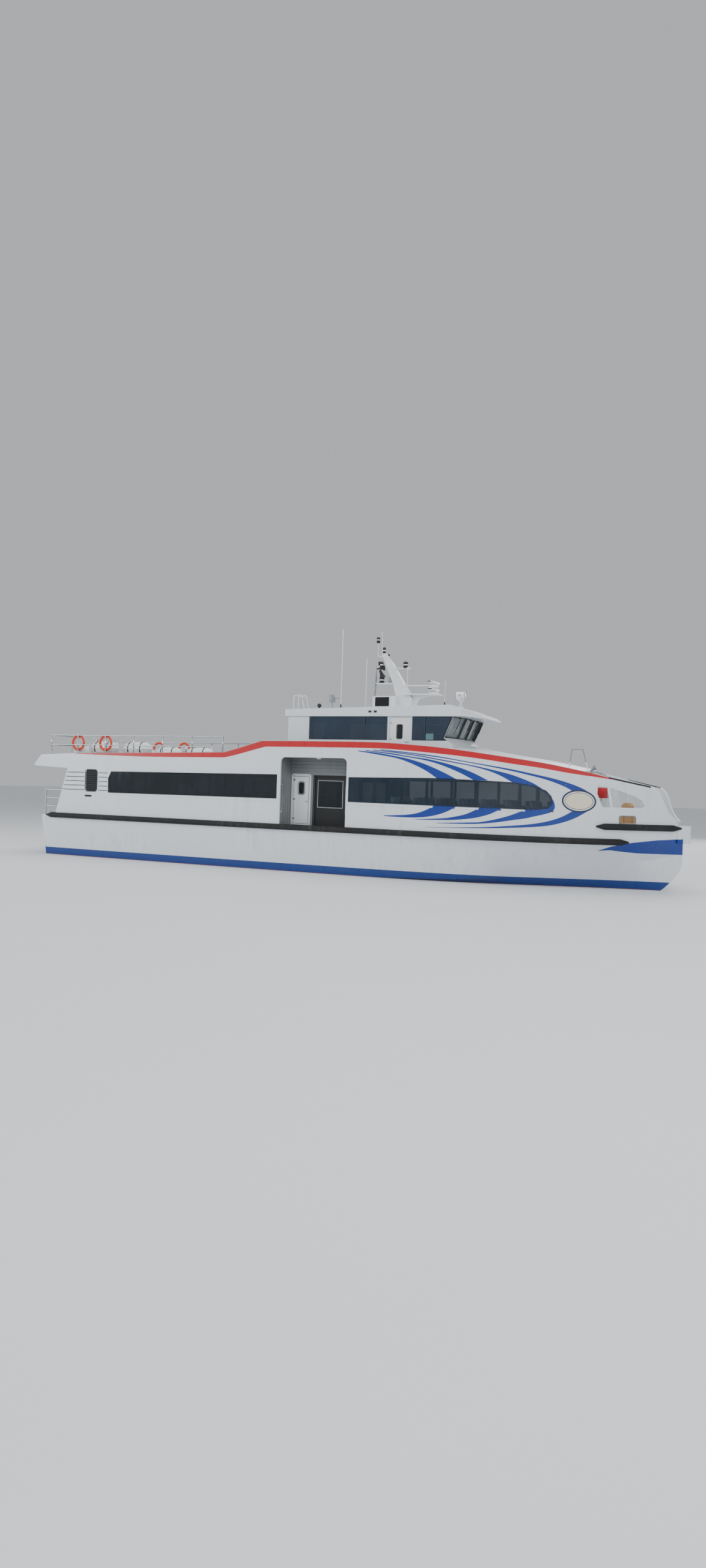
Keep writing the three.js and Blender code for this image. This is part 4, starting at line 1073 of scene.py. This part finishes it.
def makeHouseDoor():
    port, body = house["port"], "wheelhouse_door_SIDE"
    ring = roundFrame(house["door"], 0.09, 0.035, 1, 1.9003, 1.912)
    pair(ring, "house_door_frame", trimPaint)
    pane = roundPlate(grown(port, -0.027), 0.04, 1, 1.871, 1.879)
    pair(pane, "house_door_pane", cabinGlass, body)
    gasket = roundFrame(port, 0.06, 0.028, 1, 1.8953, 1.9015)
    pair(gasket, "house_door_gasket", blackTrim, body)
    fittings = doorFittings(house["lever"], house["rose"], *house["hinges"])
    pair(fittings, "house_door_fittings", steelMetal, body)


def makeFrontTrim():
    beads = []
    for y in house["beads"]:
        beads.append(pipe([(frontX(y, z, 0.002), y, z) for z in (5.21, 5.95)], 0.017))
    for z in (5.205, 5.955):
        beads.append(pipe([(frontX(y, z, 0.001), y, z) for y in (-1.8, -0.92, 0.92, 1.8)], 0.015))
    piece(beads, "front_beads", blackTrim)
    wipers = []
    for y in house["wipers"]:
        x = frontX(y, 5.93)
        wipers.append(block((x - 0.01, y - 0.05, 5.9), (x + 0.045, y + 0.05, 5.96), 0.012))
        for off in (-0.02, 0.02):
            arm = [(x + 0.045, y + off, 5.925), (frontX(y, 5.75, 0.05), y + off, 5.75)]
            arm.append((frontX(y, 5.57, 0.034), y + off + 0.06, 5.57))
            wipers.append(pipe(softCorners(arm, 0.05), 0.006))
        blade = [(frontX(y, z, 0.016), y + 0.06, z) for z in (5.86, 5.6, 5.32)]
        wipers.append(pipe(blade, 0.008))
        near, far = (frontX(y, 5.57, out) for out in (0.01, 0.045))
        wipers.append(block((near, y + 0.035, 5.545), (far, y + 0.085, 5.6), 0.006))
    piece(wipers, "wipers", blackTrim)
    lamps = [block((x, 1.969, 6.11), (x + 0.12, 2.0, 6.18), 0.012) for x in house["fascia"]]
    pair(lamps, "fascia_lamps", blackTrim)


makeHouseGlass()
makeHouseDoor()
makeFrontTrim()
print("wheelhouse dressed")


# Mast and roof gear. A turned shape is its radius and height rows, its foot and its axis
mastGear = {
    # x, y, foot, top and radius of each lamp
    "lamps": [
        (1.48, -0.52, 8.96, 9.14, 0.042), (1.48, 0.52, 8.44, 8.62, 0.04),
        (1.7, -0.65, 7.96, 8.15, 0.04), (1.7, 0.65, 7.96, 8.15, 0.04),
        (1.525, 0.0, 8.59, 8.82, 0.034), (2.45, 0.0, 8.01, 8.23, 0.055),
        (1.46, 0.0, 7.415, 7.66, 0.06),
    ],
    "louvre": (1.36, 1.95, 6.48, 6.84),
    "horn": (
        [(0, 0), (0.03, 0), (0.035, 0.08), (0.05, 0.2), (0.11, 0.3), (0.1, 0.3), (0, 0.16)],
        (1.5, -0.6, 7.92), (1, 0, 0.1),
    ),
    "speaker": (
        [(0, 0), (0.05, 0), (0.055, 0.1), (0.12, 0.3), (0.112, 0.305), (0, 0.15)],
        (1.62, -0.6, 7.86), (0.45, 0, -1),
    ),
    "stem": [(1.7, -0.6, 8.02), (1.66, -0.6, 7.9), (1.64, -0.6, 7.8)],
    "whipFoot": [
        (0, 0), (0.06, 0), (0.06, 0.012), (0.03, 0.03), (0.024, 0.2), (0.016, 0.22), (0, 0.22),
    ],
    "whips": [(0.26, -1.2, 6.28), (0.26, 1.2, 6.28), (4.35, -0.7, 6.38)],
    "ball": (
        [
            (0, 0), (0.05, 0), (0.05, 0.02), (0.025, 0.03), (0.025, 0.1), (0.085, 0.14),
            (0.085, 0.2), (0.05, 0.25), (0, 0.26),
        ],
        (-0.67, -1.2, 6.266),
    ),
}


def lampParts(x, y, low, high, radius):
    # foot, lens and cap of a navigation lamp
    tall, wide = high - low, 1.5 * radius + 0.012
    a, b = low + 0.46 * tall, low + 0.66 * tall
    foot = [(0, low - 0.02), (wide * 0.8, low - 0.02), (wide, low + 0.02), (wide, a - 0.01)]
    foot += [(radius, a), (0, a)]
    lens = [(0, a), (wide * 0.86, a), (wide * 0.92, (a + b) / 2), (wide * 0.86, b), (0, b)]
    cap = [(0, b), (wide, b), (wide, high - 0.005), (wide * 0.6, high + 0.03), (0, high + 0.035)]
    return [turned(profile, (x, y, 0)) for profile in (foot, lens, cap)]


def makeLamps():
    dark, clear = [], []
    for row in mastGear["lamps"]:
        foot, lens, cap = lampParts(*row)
        dark += [foot, cap]
        clear.append(lens)
    piece(dark, "mast_lamp_bodies", blackTrim)
    piece(clear, "mast_lamp_lenses", clearLens)


def makeMastGear():
    box = mastGear["louvre"]
    x0, x1, z0 = box[:3]
    slats = [roundFrame(box, 0.02, 0.02, 1, 0.3803, 0.392)]
    backing = roundPlate(grown(box, -0.01), 0.01, 1, 0.3802, 0.382)
    for i in range(7):
        z = z0 + 0.045 + i * 0.045
        low, high = (x0 + 0.015, 0.381, z - 0.003), (x1 - 0.015, 0.405, z + 0.003)
        slats.append(block(low, high, turn=(-0.6, 0, 0)))
    for parts, name in ((slats, "mast_louvres"), (backing, "mast_louvre_shade")):
        pair(parts, name, blackTrim)
    housing = block((1.745, -0.105, 7.421), (1.975, 0.105, 7.665), 0.03, 3)
    piece(housing, "mast_housing", greyMetal)
    horns = [turned(*mastGear["horn"]), turned(*mastGear["speaker"]), pipe(mastGear["stem"], 0.018)]
    horns.append(block((1.56, -0.68, 8.05), (1.74, -0.5, 8.2), 0.03, 3))
    piece(horns, "mast_horns", blackTrim)
    fittings = [turned(mastGear["whipFoot"], place) for place in mastGear["whips"]]
    fittings.append(turned(*mastGear["ball"]))
    sensor = [drum((-0.11, -1.2, 6.27), (-0.11, -1.2, 6.58), 0.022)]
    sensor.append(block((-0.22, -1.29, 6.57), (0.0, -1.11, 6.87), 0.02, 3))
    sensor.append(pipe([(0.0, -1.2, 6.72), (0.26, -1.2, 6.72)], 0.012))
    piece(fittings, "roof_fittings", blackTrim)
    piece(sensor, "roof_sensor", greyMetal)


# foot, half length, half depth and height of each scanner's bar, on one post
radars = {
    "x": 3.65,
    "radar_low": (7.06, 0.45, 0.075, 0.1),
    "radar_high": (7.34, 0.55, 0.06, 0.09),
    "post": [(0, 0), (0.045, 0), (0.045, 0.02), (0.03, 0.04), (0, 0.04)],
    "gearboxes": [(0.17, 0.13, 6.972, 7.05), (0.15, 0.12, 7.215, 7.33)],
}


def makeRadars():
    x = radars["x"]
    for name in ("radar_low", "radar_high"):
        z, half, deep, tall = radars[name]
        bar = block((x - deep, -half, z + 0.035), (x + deep, half, z + 0.035 + tall), 0.024, 3)
        parts = [bar, turned(radars["post"], (x, 0, z))]
        scanner = piece(parts, name + "_scanner", whitePlastic, name)
        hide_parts(name)
        deep, ends = deep + 0.002, []
        for y in (-half, half):
            low, high = (x - deep, y - 0.012, z + 0.06), (x + deep, y + 0.002, z + 0.1)
            ends.append(block(low, high, 0.004))
        piece(ends, name + "_ends", blackTrim, name)
    gear = []
    for deep, half, low, high in radars["gearboxes"]:
        gear.append(block((x - deep, -half, low), (x + deep, half, high), 0.03, 3))
    piece(gear, "radar_gearboxes", whitePlastic)


searchlight = {
    "place": (5.05, -0.9, 6.81),
    "rim": [
        (0.14, 0.166), (0.157, 0.166), (0.159, 0.178), (0.15, 0.184), (0.14, 0.178), (0.14, 0.166),
    ],
    "back": [
        (0, -0.165), (0.151, -0.165), (0.153, -0.175), (0.12, -0.2), (0.05, -0.212), (0, -0.214),
    ],
    "lens": [(0, 0.168), (0.142, 0.168), (0.1, 0.176), (0.05, 0.18), (0, 0.181)],
    "knobs": (0.19, 0.207),
}


def makeSearchlight():
    x, y, z = place = searchlight["place"]
    shapes = [searchlight[key] for key in ("rim", "back", "lens")]
    rim, back, lens = (turned(profile, place, (1, 0, 0), 32) for profile in shapes)
    near, far = searchlight["knobs"]
    knobs = [drum((x, y + s * near, z), (x, y + s * far, z), 0.03, bevel=0.004) for s in (-1, 1)]
    piece([rim, back, *knobs], "searchlight_trim", greyMetal, "searchlight")
    piece(lens, "searchlight_lens", clearLens, body="searchlight")


makeLamps()
makeMastGear()
makeRadars()
makeSearchlight()
print("mast and roof gear dressed")


# Upper deck, foredeck and stern
deckGear = {
    "rafts": [-10.15, -8.45],
    "raftMiddle": (2.35, 4.57),
    "locker": ((-11.45, 2.3, 4.16), (-11.0, 2.75, 4.66)),
    "buoys": [-11.1, -9.68],
    "buoyMiddle": (2.88, 4.77),
    "vents": [(-6.2, 1.2, 4.151), (-3.6, 2.3, 4.151)],
    "vent": [
        (0, 0), (0.1, 0), (0.1, 0.02), (0.07, 0.03), (0.07, 0.22), (0.15, 0.22), (0.15, 0.25),
        (0.11, 0.31), (0.04, 0.335), (0, 0.338),
    ],
}


def makeRaftTrim():
    y, z = deckGear["raftMiddle"]
    seams, straps = [], []
    for x in deckGear["rafts"]:
        outline = roundedBox(x - 0.686, x + 0.686, y - 0.296, y + 0.296, 0.29, steps=8)
        seams.append(plate(outline, 2, z - 0.02, z + 0.02, 0.006))
        for strap in (x - 0.3, x + 0.3):
            start, end = (strap - 0.02, y, z), (strap + 0.02, y, z)
            straps.append(drum(start, end, 0.298, sides=40, bevel=0.002))
    pair(seams, "raft_seams", whitePlastic)
    pair(straps, "raft_straps", blackTrim)


def makeUpperDeck():
    low, high = (Vector(corner) for corner in deckGear["locker"])
    lidLow, lidHigh = high - Vector((0.465, 0.465, 0.0)), high + Vector((0.015, 0.015, 0.05))
    parts = [block(low, high, 0.012), block(lidLow, lidHigh, 0.015)]
    parts += [turned(deckGear["vent"], place, steps=28) for place in deckGear["vents"]]
    pair(parts, "upper_deck_fittings", trimPaint)
    y, z = deckGear["buoyMiddle"]
    buoys, lines = [], []
    for x in deckGear["buoys"]:
        bpy.ops.mesh.primitive_torus_add(
            major_radius=0.29, minor_radius=0.055, major_segments=40, minor_segments=14,
            location=(x, y, z), rotation=(math.pi / 2, 0, 0),
        )
        ring = settle(fresh())
        for vertex in ring.data.vertices:
            vertex.co.y = y + (vertex.co.y - y) * 0.8
        buoys.append(ring)
    pair(buoys, "lifebuoys", buoyPaint)
    for x in deckGear["buoys"]:
        lines.append(pipe(circle(x, y, z, 0.35, 24), 0.006, closed=True))
        lines.append(block((x - 0.03, y + 0.025, z + 0.26), (x + 0.03, y + 0.06, z + 0.33), 0.005))
    pair(lines, "lifebuoy_grab_lines", trimPaint)


endGear = {
    "box": ((10.14, -1.3, 3.18), (10.58, -0.92, 3.56)),
    "boxPost": (10.36, -1.11, 2.252),
    "horn": (
        [(0, 0), (0.03, 0), (0.035, 0.06), (0.05, 0.13), (0.095, 0.21), (0.085, 0.21), (0, 0.1)],
        (9.93, -1.0, 4.12), (0.78, 0, 0.62),
    ),
    "handle": [(12.02, -0.08, 2.3), (12.02, -0.08, 2.33), (12.02, 0.08, 2.33), (12.02, 0.08, 2.3)],
    "cleatPosts": [-12.46, -12.32],
    "cleat": [(-12.6, 1.812), (-12.52, 1.795), (-12.26, 1.795), (-12.18, 1.812)],
    "exhaust": (-12.745, 0.9, 0.55),
    "exhaustRim": [
        (0.085, -0.02), (0.11, -0.02), (0.115, 0.02), (0.1, 0.035), (0.085, 0.035), (0.085, -0.02),
    ],
    "exhaustMouth": [(0.0, 0.0), (0.088, 0.0), (0.088, 0.012), (0.0, 0.012)],
}


def makeEnds():
    low, high = (Vector(corner) for corner in endGear["box"])
    piece(block(low, high, 0.015), "foredeck_box", redPaint)
    lidLow, lidHigh = (low.x - 0.01, low.y - 0.01, high.z - 0.02), high + Vector((0.01, 0.01, 0.05))
    x, y, z = foot = endGear["boxPost"]
    lid = [block(lidLow, lidHigh, 0.018, 3), drum(foot, (x, y, 3.19), 0.03)]
    lid.append(drum(foot, (x, y, z + 0.012), 0.08, bevel=0.003))
    horn = [turned(*endGear["horn"]), drum((9.93, -1.0, 3.9), (9.96, -1.0, 4.14), 0.022)]
    piece(horn, "bow_horn", greyMetal)
    piece(lid, "foredeck_fittings", trimPaint)
    hatch = [block((11.65, -0.25, 2.251), (12.1, 0.25, 2.3), 0.015)]
    hatch.append(block((11.63, -0.27, 2.251), (12.12, 0.27, 2.266), 0.005))
    hatch.append(pipe(softCorners(endGear["handle"], 0.02), 0.008))
    piece(hatch, "foredeck_hatch", greyMetal)
    posts = endGear["cleatPosts"]
    cleat = [drum((x, 2.75, 1.701), (x, 2.75, 1.79), 0.025, bevel=0.004) for x in posts]
    bar = [(x, 2.75, z) for x, z in endGear["cleat"]]
    cleat.append(pipe(softCorners(bar, 0.04), 0.022, sides=3))
    pair(cleat, "stern_cleats", greyMetal)
    place = endGear["exhaust"]
    rim = turned(endGear["exhaustRim"], place, (-1, 0, 0), 32)
    pair(rim, "exhaust_rims", greyMetal)
    mouth = turned(endGear["exhaustMouth"], place, (-1, 0, 0), 32)
    pair(mouth, "exhaust_mouths", blackTrim)


makeRaftTrim()
makeUpperDeck()
makeEnds()
print("decks dressed")


# Seats and helm chairs: covers blown up by their filling in a short cloth simulation
seatRows = {
    "aft": ([-10.5 + i * 7.9 / 9 for i in range(10)], 2.55),  # rows, and reach to the side
    "forward": ([3.1 + i * 0.85 for i in range(7)], None),  # reach follows the curved side
    "inner": 0.48,
    "wide": 0.5,
    "floor": 1.7003,
    "lean": -math.pi / 2 - 0.218,
}
pads = {
    # length, width and thickness before the filling swells them, and how far a point may move
    "cushion": ((0.4, 0.45, 0.075), 0.03),
    "back": ((0.56, 0.45, 0.065), 0.026),
    "head": ((0.24, 0.4, 0.05), 0.022),
}
filling = {"voxel": 0.03, "quality": 5, "pressure": 4, "frames": 20}


def stuffed(size, cap):
    obj = block([-s / 2 for s in size], [s / 2 for s in size], 0.012)
    modify(obj, "REMESH", mode="VOXEL", voxel_size=filling["voxel"])
    rest = [vertex.co.copy() for vertex in obj.data.vertices]
    cloth = obj.modifiers.new("Filling", "CLOTH")
    cloth.settings.quality = filling["quality"]
    cloth.settings.use_pressure = True
    cloth.settings.uniform_pressure_force = filling["pressure"]
    cloth.settings.effector_weights.gravity = 0
    for number in range(1, filling["frames"] + 1):
        bpy.context.scene.frame_set(number)
    pick(obj)
    bpy.ops.object.modifier_apply(modifier=cloth.name)
    bpy.context.scene.frame_set(1)
    for vertex, start in zip(obj.data.vertices, rest):
        move = vertex.co - start
        if move.length > cap:
            vertex.co = start + move.normalized() * cap
    return obj


templates = {name: stuffed(*rows) for name, rows in pads.items()}


def padAt(kind, place, lean=0.0, share=1.0):
    # a copy of a stuffed pad, turned about the boat's cross axis
    obj = templates[kind].copy()
    obj.data = templates[kind].data.copy()
    bpy.context.collection.objects.link(obj)
    obj.location = place
    obj.rotation_euler = (0, lean, 0)
    obj.scale = (1, share, 1)
    return obj


def makeSeats(zone):
    rows, reach = seatRows[zone]
    floor, inner, lean = seatRows["floor"], seatRows["inner"], seatRows["lean"]
    soft, heads, frames = [], [], []
    for x in rows:
        outer = reach or castY("seats_forward_port", x + 0.2, floor + 0.4)
        count = int((outer - inner) / seatRows["wide"])
        wide = (outer - inner) / count
        share = (wide - 0.02) / 0.48
        for i in range(count):
            y = inner + wide * (i + 0.5)
            soft.append(padAt("cushion", (x + 0.235, y, floor + 0.385), -0.02, share))
            soft.append(padAt("back", (x - 0.005, y, floor + 0.735), lean, share))
            heads.append(padAt("head", (x - 0.075, y, floor + 1.165), lean, share))
        for i in range(count + 1):
            y = min(max(inner + wide * i, inner + 0.015), outer - 0.015)
            leg = [(0.1, 0.005), (0.12, 0.34), (-0.07, 0.95)]
            arm = [(0.0, 0.62), (0.3, 0.62), (0.33, 0.36)]
            for run, bend in ((leg, 0.08), (arm, 0.06)):
                run = [(x + dx, y, floor + dz) for dx, dz in run]
                frames.append(pipe(softCorners(run, bend), 0.013))
        for bar in (x + 0.12, x + 0.36):
            start, end = (bar, inner + 0.01, floor + 0.33), (bar, outer - 0.01, floor + 0.33)
            frames.append(drum(start, end, 0.018, 10))
    cover = pair(soft, "seat_pads_" + zone, seatCloth, smooth=70)
    head = pair(heads, "seat_heads_" + zone, headCloth, smooth=70)
    pair(frames, "seat_frames_" + zone, greyMetal)
    for obj, side in zip(cover, ("port", "starboard")):
        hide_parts("seats_" + zone + "_" + side)


makeSeats("aft")
makeSeats("forward")

helm = {
    "chairs": (3.07, 2.83, 0.7),
    "wheel": (3.62, 0.7, 5.02),
    "rim": 0.19,
    "displays": [-0.35, 0.35],
}


def onWheel(angle):
    (x, y, z), rim = helm["wheel"], helm["rim"]
    return x + 0.03 * math.sin(angle), y + rim * math.cos(angle), z + rim * math.sin(angle)


def makeHelm():
    seat, rest, off = helm["chairs"]
    chairs = [padAt("cushion", (seat, s * off, 4.69)) for s in (-1, 1)]
    backs = [padAt("back", (rest, s * off, 5.0), -math.pi / 2 - 0.12) for s in (-1, 1)]
    for obj in backs:
        obj.scale = (0.8, 1, 1)
    piece([*chairs, *backs], "helm_chair_pads", helmCloth, smooth=70)
    wheel = [pipe([onWheel(math.tau * i / 28) for i in range(28)], 0.014, closed=True)]
    for i in range(3):
        wheel.append(pipe([helm["wheel"], onWheel(math.tau * i / 3 + 0.5)], 0.009))
    wheel.append(drum((3.6, 0.7, 5.02), (3.78, 0.7, 4.95), 0.035, bevel=0.005))
    piece(wheel, "helm_wheel", blackTrim)
    cases = [block((4.05, y - 0.21, 5.081), (4.11, y + 0.21, 5.37), 0.012) for y in helm["displays"]]
    cases.append(block((3.9, -1.48, 5.081), (4.24, -1.44, 5.375), 0.01))
    for y in (-0.06, 0.06):
        cases.append(block((3.72, y - 0.012, 4.95), (3.75, y + 0.012, 5.12), 0.006))
    piece(cases, "helm_displays", blackTrim)
    faces = []
    for y in helm["displays"]:
        faces.append(block((4.046, y - 0.185, 5.11), (4.051, y + 0.185, 5.345), 0.001, 1))
    faces.append(block((3.92, -1.484, 5.1), (4.22, -1.479, 5.36), 0.001, 1))
    piece(faces, "helm_screens", screenGlow)


makeHelm()
for template in templates.values():
    bpy.data.objects.remove(template)
print("seats and helm dressed")

# Light strips under the cabin's ceiling
strips = []
for start, end in ((-9.9, -7.6), (-7.2, -4.9), (-4.5, -2.2), (2.2, 4.6)):
    middle, up = Vector(((start + end) / 2, 1.5, 2.5)), Vector((0, 0, 1))
    ceiling = nodes["cabin_roof"].ray_cast(middle, up)[1].z
    strips.append(block((start, 1.44, ceiling - 0.03), (end, 1.56, ceiling - 0.0005), 0.01))
pair(strips, "ceiling_lights", ceilingGlow)


# Camera where the photograph was taken, turned to the boat; soft light, pale floor
view = {
    "place": (16.54, -35.98, 3.33),
    "aim": (0.35, 0.0, 3.4),
    "roll": 1.86,
    "lens": 22.6,
    "clip": (0.5, 600),
}
# place, aim, size, watts and tone of each soft light
lights = {
    "key": ((22, -34, 26), (2, 0, 3), 26, 7500, (1.0, 0.99, 0.97)),
    "fill": ((-30, -26, 16), (-2, 0, 3), 26, 5000, (0.95, 0.98, 1.0)),
    "top": ((0, 6, 34), (0, 0, 2), 34, 6000, (1.0, 1.0, 1.0)),
    "back": ((10, 40, 20), (0, 0, 3), 26, 4000, (1.0, 1.0, 1.0)),
}
studio = {"tone": (232, 236, 240), "strength": 0.62, "floor": 400}


def turnTo(place, aim):
    return (Vector(aim) - Vector(place)).to_track_quat("-Z", "Y").to_euler()


def aimCamera():
    bpy.ops.object.camera_add(location=view["place"])
    camera = fresh()
    camera.data.lens = view["lens"]
    camera.rotation_euler = turnTo(view["place"], view["aim"])
    camera.rotation_euler.rotate_axis("Z", math.radians(view["roll"]))
    camera.data.clip_start, camera.data.clip_end = view["clip"]
    bpy.context.scene.camera = camera


def areaLight(name, place, aim, size, watts, tone):
    bpy.ops.object.light_add(type="AREA", location=place)
    lamp = fresh()
    lamp.name = name
    lamp.data.shape = "DISK"
    lamp.data.size = size
    lamp.data.energy = watts
    lamp.data.color = tone
    lamp.rotation_euler = turnTo(place, aim)


aimCamera()
for name, row in lights.items():
    areaLight(name, *row)

world = bpy.data.worlds.new("studio")
bpy.context.scene.world = world
world.use_nodes = True
background = world.node_tree.nodes["Background"]
background.inputs["Color"].default_value = colour(*studio["tone"])
background.inputs["Strength"].default_value = studio["strength"]

deselect()
bpy.ops.mesh.primitive_plane_add(size=studio["floor"], location=(0, 60, 0))
floor = settle(fresh())
floor.name = "floor"
floorMaterial, floorTree, floorShader = startMaterial("pale floor", {"Roughness": 0.8})
cloudy = spots(floorTree, (0.15, 0.15, 0.15))
floorTint = blendColour(floorTree, cloudy, colour(226, 229, 232), colour(232, 235, 238))
floorTree.links.new(floorTint, floorShader.inputs["Base Color"])
floor.data.materials.append(floorMaterial)
print("camera, light and floor ready")
